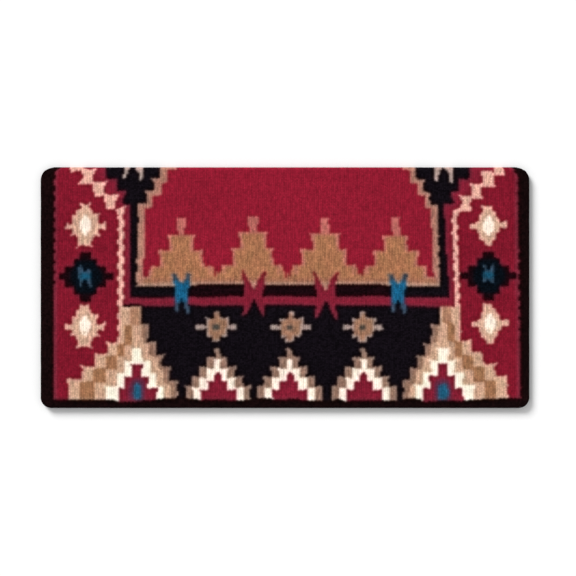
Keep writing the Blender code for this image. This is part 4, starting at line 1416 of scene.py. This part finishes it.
@dataclass(frozen=True)
class Borders:
    """The black borders at the sides and the end.

    Attributes:
        left: X of the left border's inner edge at the fold and at the end.
        right: The same of the right border.
        top: Where the end border ends above at the sides.
        uneven: Its upper edge between them, from left to right.
        tooth: How far the side borders' fine teeth stand in.
        period: Height of one tooth.
        reach: X past the cloth's sides.
        above: A height past the fold.
        below: A height past the end.
    """

    left: tuple[float, float] = (-430.5, -433.0)
    right: tuple[float, float] = (434.5, 440.5)
    top: float = 15.5
    uneven: Outline = (
        (-317, 15.5), (-309, 12.1), (-288, 11.8), (-266, 13.3), (-260, 14.9), (-253, 14.0),
        (-245, 16.2), (-234, 17.2), (-223, 18.1), (-204, 18.1), (-189, 21.1), (-182, 18.9),
        (-174, 16.8), (-163, 17.0), (-157, 14.6), (-148, 15.5), (-114, 15.5), (-99, 13.8),
        (-73, 14.9), (-66, 16.6), (-52, 21.5), (-47, 18.1), (-28, 18.1), (-21, 16.6), (-13, 14.9),
        (9, 16.6), (24, 17.4), (32, 15.3), (39, 13.6), (51, 14.8), (69, 14.0), (92, 14.8),
        (96, 17.4), (105, 17.2), (112, 13.6), (137, 14.0), (163, 14.9), (174, 13.8), (208, 14.4),
        (217, 14.8), (223, 17.4), (230, 19.1), (245, 18.7), (253, 17.0), (260, 12.1), (275, 13.1),
        (309, 14.9), (324, 13.4), (335, 13.8), (347, 15.5), (365, 16.4), (376, 17.4), (395, 17.7),
        (406, 19.2), (414, 18.1), (436, 18.5),
    )
    tooth: float = 1.5
    period: float = 19.6
    reach: float = 470.0
    above: float = 480.0
    below: float = -10.0

    def paint(self, cartoon: Cartoon) -> None:
        """Paints the three borders.

        Args:
            cartoon: The cartoon to paint into.
        """
        upper_edge = ((-self.reach, self.top), *self.uneven, (self.reach, self.top))
        lower_edge = ((self.reach, self.below), (-self.reach, self.below))
        cartoon.paint("border_end", Yarn.BORDER, (*upper_edge, *lower_edge))
        for area, (at_fold, at_end), away in (
            ("border_left", self.left, -self.reach),
            ("border_right", self.right, self.reach),
        ):
            start, end = (at_fold, self.above), (at_end, self.top)
            inner = wavy(start, end, self.tooth, self.period, 0.0)
            outer = [(at_end, self.below), (away, self.below)]
            cartoon.paint(area, Yarn.BORDER, [(away, self.above), *inner, *outer])


# The cloth


class Half(Enum):
    """The halves of the folded cloth, and the body that each rides on."""

    UPPER = "upper_half"
    LOWER = "lower_half"


@dataclass(frozen=True)
class Drape:
    """Where the grid's points lie in the folded cloth.

    Attributes:
        loom: The grid.
        end: Y of the cloth's ends.
        hinge_y: Y of the line where the fold starts to turn.
        hinge_z: Height of the fold's middle.
        outer: Radius of the cloth's outer face round the fold.
        inner: Radius of its inner face.
        end_corner: Radius of the corners at the end.
        fold_corner: Radius of the corners at the fold, in plan.
        squeeze: How far from the sides the ribs close up at a corner.
        rim: How far in from an edge the cloth starts to thin.
        least_thickness: Share of the thickness that is left at the edge.
        least_relief: Share of the relief that is left there.
        valley: Depth of the valleys between ribs.
        pinch: Depth of the dips between the beads of a rib.
        jitter: How far single points depart from their depth.
        waviness: How far the outline waves.
        waves: Radians to the metre of its two waves.
        seam: How far each half stops short of the line where it turns.
        scatter: Factors that scatter the jitter over the columns, the rows and the points.
    """

    loom: Loom
    end: float = -0.22535
    hinge_y: float = 0.2187
    hinge_z: float = 0.00665
    outer: float = 0.00665
    inner: float = 0.00015
    end_corner: float = 0.020
    fold_corner: float = 0.025
    squeeze: float = 0.060
    rim: float = 0.00325
    least_thickness: float = 0.15
    least_relief: float = 0.4
    valley: float = 0.00085
    pinch: float = 0.00040
    jitter: float = 0.00012
    waviness: float = 0.0003
    waves: tuple[float, float] = (61.0, 143.0)
    seam: float = 0.00003
    scatter: Triple = (12.9898, 78.233, 43758.5453)

    def points(
        self, half: Half, column: np.ndarray, row: np.ndarray, outside: np.ndarray
    ) -> np.ndarray:
        """Places grid points on the cloth.

        Args:
            half: Which half of the cloth.
            column: The points' grid columns.
            row: Their grid rows.
            outside: True where a point lies on the outer face.

        Returns:
            Their places, one row each.
        """
        sign = 1.0 if half is Half.UPPER else -1.0
        loom = self.loom
        length = loom.along(row)
        turn = np.clip((row - loom.flat_rows) / loom.turn_rows, 0, 1) * math.pi / 2
        plan_y = np.where(
            row <= loom.flat_rows, self.end + length, self.hinge_y + self.outer * np.sin(turn)
        )
        x, to_side = self._draw_in(loom.across(column), plan_y)
        edge = np.minimum(to_side, length)
        share = np.clip(edge / self.rim, 0, 1)
        thin = np.maximum(self.least_thickness, np.sqrt(1 - (1 - share) ** 2))
        depth = self._depth(column, row) * np.maximum(thin, self.least_relief)
        middle, thick = (self.outer + self.inner) / 2, (self.outer - self.inner) / 2
        radius = middle + np.where(outside, thin * thick - depth, depth - thin * thick)
        y = np.where(row <= loom.flat_rows, plan_y, self.hinge_y + radius * np.sin(turn))
        y -= np.where(row == loom.flat_rows, self.seam, 0.0)
        z = self.hinge_z + sign * radius * np.cos(turn)
        return np.stack([x, y, z], axis=1)

    def _draw_in(self, x: np.ndarray, y: np.ndarray) -> tuple[np.ndarray, np.ndarray]:
        """Draws the ribs near the sides in, so that the outline has round corners.

        Args:
            x: X of the points on the straight cloth.
            y: Their Y.

        Returns:
            The new X, and how far each point is from the side.
        """
        half = self.loom.width / 2
        near_end = np.clip(self.end_corner - (y - self.end), 0, self.end_corner)
        near_fold = np.clip(
            self.fold_corner - (self.hinge_y + self.outer - y), 0, self.fold_corner
        )
        cut = (
            self.end_corner - np.sqrt(self.end_corner**2 - near_end**2)
            + self.fold_corner - np.sqrt(self.fold_corner**2 - near_fold**2)
        )
        long, short = self.waves
        wave = np.sin(y * long + np.sign(x)) + np.sin(y * short + 2 * np.sign(x))
        limit = half - cut - self.waviness * (1 + wave / 2) / 2
        start = half - self.squeeze
        share = np.clip((np.abs(x) - start) / self.squeeze, 0, 1)
        size = np.where(share > 0, start + share * (limit - start), np.abs(x))
        return np.sign(x) * size, limit - size

    def _depth(self, column: np.ndarray, row: np.ndarray) -> np.ndarray:
        """Gives how deep each point lies below the tops of the beads.

        Args:
            column: The points' grid columns.
            row: Their grid rows.

        Returns:
            The depths in metres.
        """
        crest = column % 2 == 1
        rib = column // 2
        bead_end = (row + rib) % 2 == 0
        depth = np.where(crest, np.where(bead_end, self.pinch, 0.0), self.valley)
        by_column, by_row, by_point = self.scatter
        chance = np.sin(column * by_column + row * by_row) * by_point
        return depth + self.jitter * (chance - np.floor(chance))


class Weaver:
    """Weaves areas of the cartoon into pieces of cloth.

    Attributes:
        BAKE_MAP: Name of the map without overlaps.
        BAKE_EDGE: Margin round its parts.
        WALL_STRIP: Height of its strip for the walls.
        WALL_PATCH: Where a wall's quad starts and ends in its own square of the strip.
        WALL_SHIFT: How far the weave's map goes on through the cloth, in ribs.
        TONE: Power between a linear colour and its tone.
        BRIGHTNESS: Weights of red, green and blue in a grey.
        GREY_STRAYS: How often the greys are smoothed along the rows and the columns.
        HUE_STRAYS: The same for the hues.
        EDGE_SHADE: How much the greys stand out at an area's edge: painted shade on its darker
            side, a lighter fringe on its paler side.
    """

    BAKE_MAP = "OFBake"
    BAKE_EDGE = 0.006
    WALL_STRIP = 0.08
    WALL_PATCH = (0.1, 0.9)
    WALL_SHIFT = 0.3
    TONE = 2.4
    BRIGHTNESS = (0.299, 0.587, 0.114)
    GREY_STRAYS = (3, 2)
    HUE_STRAYS = (10, 6)
    EDGE_SHADE = 0.5

    def __init__(self, cartoon: Cartoon, drape: Drape, shader: WoolShader) -> None:
        """Sets the weaver up.

        Args:
            cartoon: The areas and wools.
            drape: Where the cloth lies.
            shader: Gives the wools' materials.
        """
        self.cartoon = cartoon
        self.drape = drape
        self.shader = shader
        self.yarns = cartoon.yarn_of_quads()
        self.mingled = self._mingle()

    def _mingle(self) -> np.ndarray:
        """Mixes the dyes round each grid point: the hue strays further than the brightness. At an
        area's edge the greys are pushed apart: painted shade on the darker side, a lighter fringe
        on the paler side.

        Returns:
            A linear colour with alpha for each grid point, by row and column.
        """
        dyes = np.array([yarn.value.dye for yarn in self.cartoon.yarns]) * WoolShader.EXPOSURE
        quads = (dyes ** (1 / self.TONE))[self.yarns]
        wide = np.pad(quads, ((1, 1), (1, 1), (0, 0)), mode="edge")
        tones = (wide[:-1, :-1] + wide[1:, :-1] + wide[:-1, 1:] + wide[1:, 1:]) / 4
        grey = tones @ np.array(self.BRIGHTNESS)
        hue = self._smooth(tones - grey[..., None], *self.HUE_STRAYS)
        near = self._smooth(grey, *self.GREY_STRAYS)
        # Painted shade: the greys overshoot at an area's edge, darker on its darker side and
        # lighter on its paler side.
        grey = near + self.EDGE_SHADE * (near - self._smooth(near, *self.HUE_STRAYS))
        mixed = np.clip(grey[..., None] + hue, 0.0, 1.0) ** self.TONE
        return np.concatenate([mixed, np.ones(mixed.shape[:2] + (1,))], axis=2)

    @staticmethod
    def _smooth(values: np.ndarray, down: int, across: int) -> np.ndarray:
        """Smooths values on the grid.

        Args:
            values: By row and column.
            down: How often along the rows.
            across: How often along the columns.

        Returns:
            The smoothed values.
        """
        for axis, times in ((0, down), (1, across)):
            for _ in range(times):
                pad = [(1, 1) if a == axis else (0, 0) for a in range(values.ndim)]
                wide = np.pad(values, pad, mode="edge")
                count = values.shape[axis]
                before, after = (wide.take(range(k, k + count), axis) for k in (0, 2))
                values = values / 2 + (before + after) / 4
        return values

    def weave(self, name: str, half: Half, mask: np.ndarray) -> bpy.types.Object:
        """Weaves one piece of cloth from the quads of a mask.

        Args:
            name: The piece's name.
            half: Which half of the cloth it belongs to.
            mask: The quads it has, by row and column.

        Returns:
            The piece, with its place in its mesh.
        """
        mesh = self._panel_of_quads(name, mask)
        self._dress(mesh, half, mask)
        piece = bpy.data.objects.new(name, mesh)
        bpy.context.scene.collection.objects.link(piece)
        return piece

    def _panel_of_quads(self, name: str, mask: np.ndarray) -> bpy.types.Mesh:
        """Makes the closed panel in grid units: x columns, y rows, z 0 inside and 1 outside.

        Args:
            name: The mesh's name.
            mask: The quads it has.

        Returns:
            The mesh.
        """
        rows, columns = np.nonzero(mask)
        low, left = int(rows.min()), int(columns.min())
        high, wide = int(rows.max()) + 1 - low, int(columns.max()) + 1 - left
        bm = bmesh.new()
        bmesh.ops.create_grid(bm, x_segments=wide, y_segments=high, size=0.5)
        bmesh.ops.scale(bm, vec=(wide, high, 1.0), verts=bm.verts)
        bmesh.ops.translate(bm, vec=(left + wide / 2, low + high / 2, 0.0), verts=bm.verts)
        spare = []
        for face in bm.faces:
            middle = face.calc_center_median()
            if not mask[int(middle.y), int(middle.x)]:
                spare.append(face)
        bmesh.ops.delete(bm, geom=spare, context="FACES")
        grown = bmesh.ops.extrude_face_region(bm, geom=bm.faces[:], use_keep_orig=True)
        raised = [v for v in grown["geom"] if isinstance(v, bmesh.types.BMVert)]
        bmesh.ops.translate(bm, vec=(0.0, 0.0, 1.0), verts=raised)
        bmesh.ops.recalc_face_normals(bm, faces=bm.faces)
        mesh = bpy.data.meshes.new(name)
        bm.to_mesh(mesh)
        bm.free()
        return mesh

    def _dress(self, mesh: bpy.types.Mesh, half: Half, mask: np.ndarray) -> None:
        """Gives a panel its place, its wools, its maps and its sharp walls.

        Args:
            mesh: The panel in grid units.
            half: Which half of the cloth it belongs to.
            mask: The quads it has.
        """
        count = len(mesh.vertices)
        co = np.empty(count * 3, np.float32)
        mesh.vertices.foreach_get("co", co)
        grid = np.rint(co.reshape(-1, 3)).astype(int)
        corner = np.empty(len(mesh.loops), np.int32)
        mesh.loops.foreach_get("vertex_index", corner)
        quads = grid[corner.reshape(-1, 4)]
        spot = quads.mean(axis=1)
        layer = spot[:, 2]
        wall = (layer > 0) & (layer < 1)
        row, column = self._owner(spot, mask)

        used, slots = np.unique(self.yarns[row, column], return_inverse=True)
        for number in used:
            mesh.materials.append(self.shader.material(self.cartoon.yarns[number]))
        mesh.polygons.foreach_set("material_index", slots.reshape(-1).astype(np.int32))
        mesh.polygons.foreach_set("use_smooth", np.ones(len(mesh.polygons), bool))
        self._sharpen(mesh, wall)
        self._map_weave(mesh, quads, column)
        self._map_bake(mesh, quads, wall, layer)

        around = mesh.attributes.new(WoolShader.NEIGHBOURS, "FLOAT_COLOR", "POINT")
        mixed = self.mingled[grid[:, 1], grid[:, 0]]
        around.data.foreach_set("color", mixed.astype(np.float32).ravel())

        outside = grid[:, 2] == 1
        places = self.drape.points(half, grid[:, 0], grid[:, 1], outside)
        mesh.vertices.foreach_set("co", places.astype(np.float32).ravel())
        if half is Half.LOWER:
            mesh.flip_normals()
        mesh.update()

    @staticmethod
    def _owner(spot: np.ndarray, mask: np.ndarray) -> tuple[np.ndarray, np.ndarray]:
        """Finds the quad of the grid that each face belongs to.

        Args:
            spot: The faces' middles in grid units.
            mask: The quads that the piece has.

        Returns:
            Their rows and columns.
        """
        rows, columns = mask.shape
        row, column = spot[:, 1].astype(int), spot[:, 0].astype(int)
        on_column = spot[:, 0] == column
        on_row = spot[:, 1] == row
        outside = (row >= rows) | (column >= columns)
        missing = outside | ~mask[np.minimum(row, rows - 1), np.minimum(column, columns - 1)]
        column = np.where(missing & on_column, column - 1, column)
        row = np.where(missing & on_row, row - 1, row)
        return row, column

    @staticmethod
    def _sharpen(mesh: bpy.types.Mesh, wall: np.ndarray) -> None:
        """Marks the edges of the walls between pieces as sharp.

        Args:
            mesh: The panel.
            wall: True for each face that is a wall.
        """
        edges = np.empty(len(mesh.loops), np.int32)
        mesh.loops.foreach_get("edge_index", edges)
        sharp = np.zeros(len(mesh.edges), bool)
        sharp[edges.reshape(-1, 4)[wall].ravel()] = True
        found = mesh.attributes.new("sharp_edge", "BOOLEAN", "EDGE")
        found.data.foreach_set("value", sharp)

    def _map_weave(self, mesh: bpy.types.Mesh, quads: np.ndarray, column: np.ndarray) -> None:
        """Adds the map that counts ribs in U and beads in V.

        Args:
            mesh: The panel.
            quads: The grid points of each face.
            column: The grid column that each face belongs to.
        """
        layer = mesh.uv_layers.new(name=WoolShader.WEAVE_MAP)
        uv = np.empty(quads.shape[:2] + (2,))
        stagger = (column // 2 % 2)[:, None]
        through = self.WALL_SHIFT * quads[..., 2]
        flat = (quads[..., 2].min(axis=1) == quads[..., 2].max(axis=1))[:, None]
        uv[..., 0] = quads[..., 0] / 2 + np.where(flat, 0.0, through)
        uv[..., 1] = (quads[..., 1] + stagger) / 2
        layer.data.foreach_set("uv", uv.astype(np.float32).ravel())

    def _map_bake(
        self, mesh: bpy.types.Mesh, quads: np.ndarray, wall: np.ndarray, layer: np.ndarray
    ) -> None:
        """Adds a map without overlaps: outer face left, inner face right, walls in a strip on top.

        Args:
            mesh: The panel.
            quads: The grid points of each face.
            wall: True for each face that is a wall.
            layer: 1 for faces outside and 0 for faces inside.
        """
        made = mesh.uv_layers.new(name=self.BAKE_MAP)
        low = quads[..., :2].reshape(-1, 2).min(axis=0)
        span = quads[..., :2].reshape(-1, 2).max(axis=0) - low
        edge, strip = self.BAKE_EDGE, self.WALL_STRIP
        uv = (quads[..., :2] - low) / span
        uv[..., 0] = edge + uv[..., 0] * (0.5 - 2 * edge)
        uv[..., 0] += np.where(layer == 0, 0.5, 0.0)[:, None]
        uv[..., 1] = edge + uv[..., 1] * (1 - strip - 2 * edge)
        walls = int(wall.sum())
        across = max(1, math.ceil(math.sqrt(walls / strip)))
        size = min(1 / across, strip / max(1, math.ceil(walls / across)))
        number = np.arange(walls)
        foot = np.stack([number % across / across, 1 - strip + number // across * size], axis=1)
        start, end = self.WALL_PATCH
        square = np.array([(start, start), (end, start), (end, end), (start, end)]) * size
        uv[wall] = foot[:, None, :] + square[None]
        made.data.foreach_set("uv", uv.astype(np.float32).ravel())
        mesh.uv_layers.active = made


@dataclass(frozen=True)
class Woven:
    """One woven piece: its name, the areas it has and the CAD nodes it stands for."""

    name: str
    areas: tuple[str, ...]
    nodes: tuple[str, ...]


@dataclass
class ClothHalf:
    """One half of the folded cloth.

    Attributes:
        half: Which one.
        parts: The pieces it is woven from.
        sheets: Names of the sheet pieces, each with the small pieces on it.
        least_share: Share of its flat size that a sheet's area fills at least; not used. A
            thin frame round an opening fills less of its extents, so these are scaled down for
            it.
        made: The pieces by name, once they are woven.
    """

    half: Half
    parts: Sequence[Woven]
    sheets: Mapping[str, Sequence[str]]
    least_share: float = 0.31
    made: dict[str, bpy.types.Object] = field(default_factory=dict)

    def build(self, weaver: Weaver) -> None:
        """Weaves every piece of this half and lets it ride on its body.

        Args:
            weaver: Weaves the pieces.
        """
        loom = weaver.cartoon.loom
        flat = np.zeros((loom.rows, loom.columns), bool)
        flat[: loom.flat_rows] = True
        for part in self.parts:
            mask = weaver.cartoon.mask(part.areas) & flat
            piece = weaver.weave(part.name, self.half, mask)
            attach(piece, self.half.value)
            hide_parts(*part.nodes)
            row, column = np.nonzero(mask)
            numbers, counts = np.unique(weaver.yarns[row, column], return_counts=True)
            weaver.cartoon.yarns[numbers[counts.argmax()]].value.slot
            self.made[part.name] = piece
            log.info("%s: %d faces", part.name, len(piece.data.polygons))

    def declare(self, weaver: Weaver) -> None:
        """Args:
            weaver: Knows the areas' sizes.
        """
        loom = weaver.cartoon.loom
        by_name = {part.name: part for part in self.parts}
        for name, small in self.sheets.items():
            mask = weaver.cartoon.mask(by_name[name].areas)[: loom.flat_rows]


@dataclass(frozen=True)
class Fold:
    """The turn of the cloth at the fold, in two quarter turns.

    Attributes:
        depth: Height over which the turn passes from one half's body to the other's; not used.
    """

    depth: float = 0.0133

    def build(self, weaver: Weaver) -> None:
        """Weaves both quarter turns.

        Args:
            weaver: Weaves the pieces.
        """
        loom = weaver.cartoon.loom
        turn = np.zeros((loom.rows, loom.columns), bool)
        turn[loom.flat_rows :] = True
        for half, node in ((Half.UPPER, "fold_upper"), (Half.LOWER, "fold_lower")):
            piece = weaver.weave(f"woven_{node}", half, turn)
            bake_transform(piece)
            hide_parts(node)
            log.info("%s: %d faces", piece.name, len(piece.data.polygons))


SIDES = ("left", "right")
ARCH_COLOURS = ("tan", "white", "red")
CORNER_COLOURS = ("tan", "white", "red", "blue")
UPPER_AREAS = (
    "border_end", "border_left", "border_right", "panel_left", "panel_right", "centre_field",
    "terraces", "black_ground", "red_frame_left", "red_frame_middle", "red_frame_right",
    "black_frame_left", "black_frame_mid_left", "black_frame_middle", "black_frame_mid_right",
    "black_frame_right", "blue_hook_left", "blue_hook_right", "step_line_left",
    "step_line_right", "fang_left_outer", "fang_left_inner", "fang_right_inner",
    "fang_right_outer", "small_star_left", "small_star_middle", "small_star_right",
    "diamond_left", "diamond_right", "diamond_hook_left", "diamond_hook_right",
    "star_left_upper", "star_left_lower", "star_right_upper", "star_right_lower",
    *(f"arch_{c}_{s}" for c in ARCH_COLOURS for s in ("left", "middle", "right")),
    *(f"corner_{c}_{s}" for c in CORNER_COLOURS for s in SIDES),
)


def areas_of(*starts: str) -> tuple[str, ...]:
    """Gives the areas whose names start with one of some words."""
    return tuple(area for area in UPPER_AREAS if area.startswith(starts))


def woven_of(*starts: str) -> tuple[str, ...]:
    """Gives the upper half's pieces whose areas' names start with one of some words."""
    return tuple(f"woven_{area}" for area in areas_of(*starts))


def panel_figures(side: str) -> tuple[str, ...]:
    """Gives what the names of the areas on one panel start with."""
    return (f"star_{side}", f"diamond_{side}", f"diamond_hook_{side}")


def upper_half() -> ClothHalf:
    """Plans the upper half: one piece for each area of the pattern.

    Returns:
        The half, not woven yet.
    """
    sheets = {
        "woven_centre_field": ("woven_fang_left_inner", "woven_fang_right_inner"),
        "woven_terraces": (),
        "woven_black_ground": woven_of("arch_", "small_star"),
    }
    for side in SIDES:
        figures = woven_of(*panel_figures(side), f"step_line_{side}")
        beside = (f"woven_border_{side}", f"woven_fang_{side}_outer")
        sheets[f"woven_panel_{side}"] = figures + beside
    for side in SIDES:
        bands = tuple(f"woven_corner_{c}_{side}" for c in CORNER_COLOURS if c != "tan")
        sheets[f"woven_corner_tan_{side}"] = bands
    sheets["woven_border_end"] = ()
    sheets["woven_red_frame_middle"] = woven_of(
        "black_frame", "blue_hook", "red_frame_left", "red_frame_right"
    )
    parts = tuple(Woven(f"woven_{area}", (area,), (area,)) for area in UPPER_AREAS)
    return ClothHalf(Half.UPPER, parts, sheets)


def lower_half() -> ClothHalf:
    """Plans the lower half: the same areas, in fewer pieces, because little of it shows.

    Returns:
        The half, not woven yet.
    """
    middle = "lower_middle"
    plan = [
        ("border_end", ("border_end",), "lower_border_end"),
        *((f"border_{s}", (f"border_{s}",), f"lower_border_{s}") for s in SIDES),
        *((f"panel_{s}", (f"panel_{s}", *panel_figures(s)), f"lower_panel_{s}") for s in SIDES),
        *((f"step_line_{s}", (f"step_line_{s}", f"fang_{s}"), middle) for s in SIDES),
        ("field", ("centre_field",), middle),
        ("terraces", ("terraces",), middle),
        ("frames", ("red_frame", "black_frame", "blue_hook"), middle),
        ("ground", ("black_ground", "small_star"), middle),
        ("arches", ("arch_",), middle),
        *((f"corner_{s}", [f"corner_{c}_{s}" for c in CORNER_COLOURS], middle) for s in SIDES),
    ]
    parts = tuple(
        Woven(f"woven_lower_{name}", areas_of(*starts), (node,)) for name, starts, node in plan
    )
    sheets = {f"woven_lower_{name}": () for name in ("field", "terraces", "ground", "arches")}
    for side in SIDES:
        beside = (f"woven_lower_border_{side}", f"woven_lower_step_line_{side}")
        sheets[f"woven_lower_panel_{side}"] = beside
    for name in ("corner_left", "corner_right", "frames", "border_end"):
        sheets[f"woven_lower_{name}"] = ()
    return ClothHalf(Half.LOWER, parts, sheets)


# The studio


@dataclass(frozen=True)
class Studio:
    """The pale floor, the soft light from the upper left and the camera straight above.

    Attributes:
        floor_size: Side of the floor.
        floor_tone: Its reflectance.
        floor_drop: How far it lies under the cloth.
        key_turn: Which way the key light comes from, in degrees from +X.
        key_height: Its height above the horizon, in degrees.
        key_spread: Its angular size, in degrees.
        key_power: Its strength.
        sky_power: Strength of the even light all round.
        camera_place: Where the camera is.
        camera_lens: Its focal length, in millimetres.
        camera_sensor: Width of its sensor, in millimetres.
        camera_reach: How far it sees.
    """

    floor_size: float = 12.0
    floor_tone: float = 0.82
    floor_drop: float = 0.0003
    key_turn: float = 128.0
    key_height: float = 33.0
    key_spread: float = 27.0
    key_power: float = 3.60
    sky_power: float = 0.64
    camera_place: tuple[float, float, float] = (0.0056, -0.0009, 6.0)
    camera_lens: float = 200.2
    camera_sensor: float = 36.0
    camera_reach: float = 50.0

    def build(self) -> None:
        """Builds the whole studio."""
        self._floor()
        self._light()
        self._camera()

    def _floor(self) -> None:
        """Lays the floor."""
        mesh = bpy.data.meshes.new("floor")
        bm = bmesh.new()
        bmesh.ops.create_grid(bm, x_segments=1, y_segments=1, size=self.floor_size / 2)
        bmesh.ops.translate(bm, vec=(0.0, 0.0, -self.floor_drop), verts=bm.verts)
        bm.to_mesh(mesh)
        bm.free()
        material = bpy.data.materials.new("floor paper")
        material.use_nodes = True
        shader = next(n for n in material.node_tree.nodes if n.type == "BSDF_PRINCIPLED")
        shader.inputs["Base Color"].default_value = (*[self.floor_tone] * 3, 1)
        shader.inputs["Roughness"].default_value = 1.0
        shader.inputs["Specular IOR Level"].default_value = 0.0
        mesh.materials.append(material)
        floor = bpy.data.objects.new("floor", mesh)
        bpy.context.scene.collection.objects.link(floor)

    def _light(self) -> None:
        """Hangs the key light and lights the air evenly; where it is seen, the air is white."""
        data = bpy.data.lights.new("key", "SUN")
        data.energy = self.key_power
        data.angle = math.radians(self.key_spread)
        key = bpy.data.objects.new("key", data)
        turn, height = math.radians(self.key_turn), math.radians(self.key_height)
        towards = Vector(
            (math.cos(turn) * math.cos(height), math.sin(turn) * math.cos(height), math.sin(height))
        )
        key.rotation_mode = "QUATERNION"
        key.rotation_quaternion = towards.to_track_quat("Z", "Y")
        bpy.context.scene.collection.objects.link(key)
        world = bpy.data.worlds.new("studio air")
        world.use_nodes = True
        tree = world.node_tree
        air = next(n for n in tree.nodes if n.type == "BACKGROUND")
        air.inputs["Color"].default_value = (1.0, 1.0, 1.0, 1)
        path = tree.nodes.new("ShaderNodeLightPath")
        seen = path.outputs["Is Camera Ray"]
        for ray in ("Is Glossy Ray", "Is Transmission Ray"):
            either = tree.nodes.new("ShaderNodeMath")
            either.operation = "MAXIMUM"
            tree.links.new(seen, either.inputs[0])
            tree.links.new(path.outputs[ray], either.inputs[1])
            seen = either.outputs[0]
        strength = tree.nodes.new("ShaderNodeMapRange")
        strength.inputs["To Min"].default_value = self.sky_power
        strength.inputs["To Max"].default_value = 1.0
        tree.links.new(seen, strength.inputs["Value"])
        tree.links.new(strength.outputs["Result"], air.inputs["Strength"])
        bpy.context.scene.world = world
        bpy.context.scene.view_settings.view_transform = "Standard"

    def _camera(self) -> None:
        """Sets the camera straight above the cloth, as in the photograph."""
        data = bpy.data.cameras.new("camera")
        data.sensor_width = self.camera_sensor
        data.lens = self.camera_lens
        data.clip_end = self.camera_reach
        camera = bpy.data.objects.new("camera", data)
        camera.location = self.camera_place
        bpy.context.scene.collection.objects.link(camera)
        bpy.context.scene.camera = camera


def main() -> None:
    """Draws the cartoon, weaves the cloth and sets up the studio."""
    logging.basicConfig(level=logging.INFO, format="%(message)s")
    loom = Loom()
    cartoon = Cartoon(loom)
    log.info("drawing the cartoon")
    for figure in (
        CentreFrames(), SidePanels(), CentreField(), Hooks(), Fangs(), LEFT_STEP_LINE,
        RIGHT_STEP_LINE, SmallStars(), BorderArches(), LEFT_CORNER, RIGHT_CORNER,
        PanelFigures(), Borders(),
    ):
        figure.paint(cartoon)
    weaver = Weaver(cartoon, Drape(loom), WoolShader())
    for half in (upper_half(), lower_half()):
        log.info("weaving the %s", half.half.value)
        half.build(weaver)
        half.declare(weaver)
    log.info("weaving the fold")
    Fold().build(weaver)
    Studio().build()


if __name__ == "__main__":
    main()
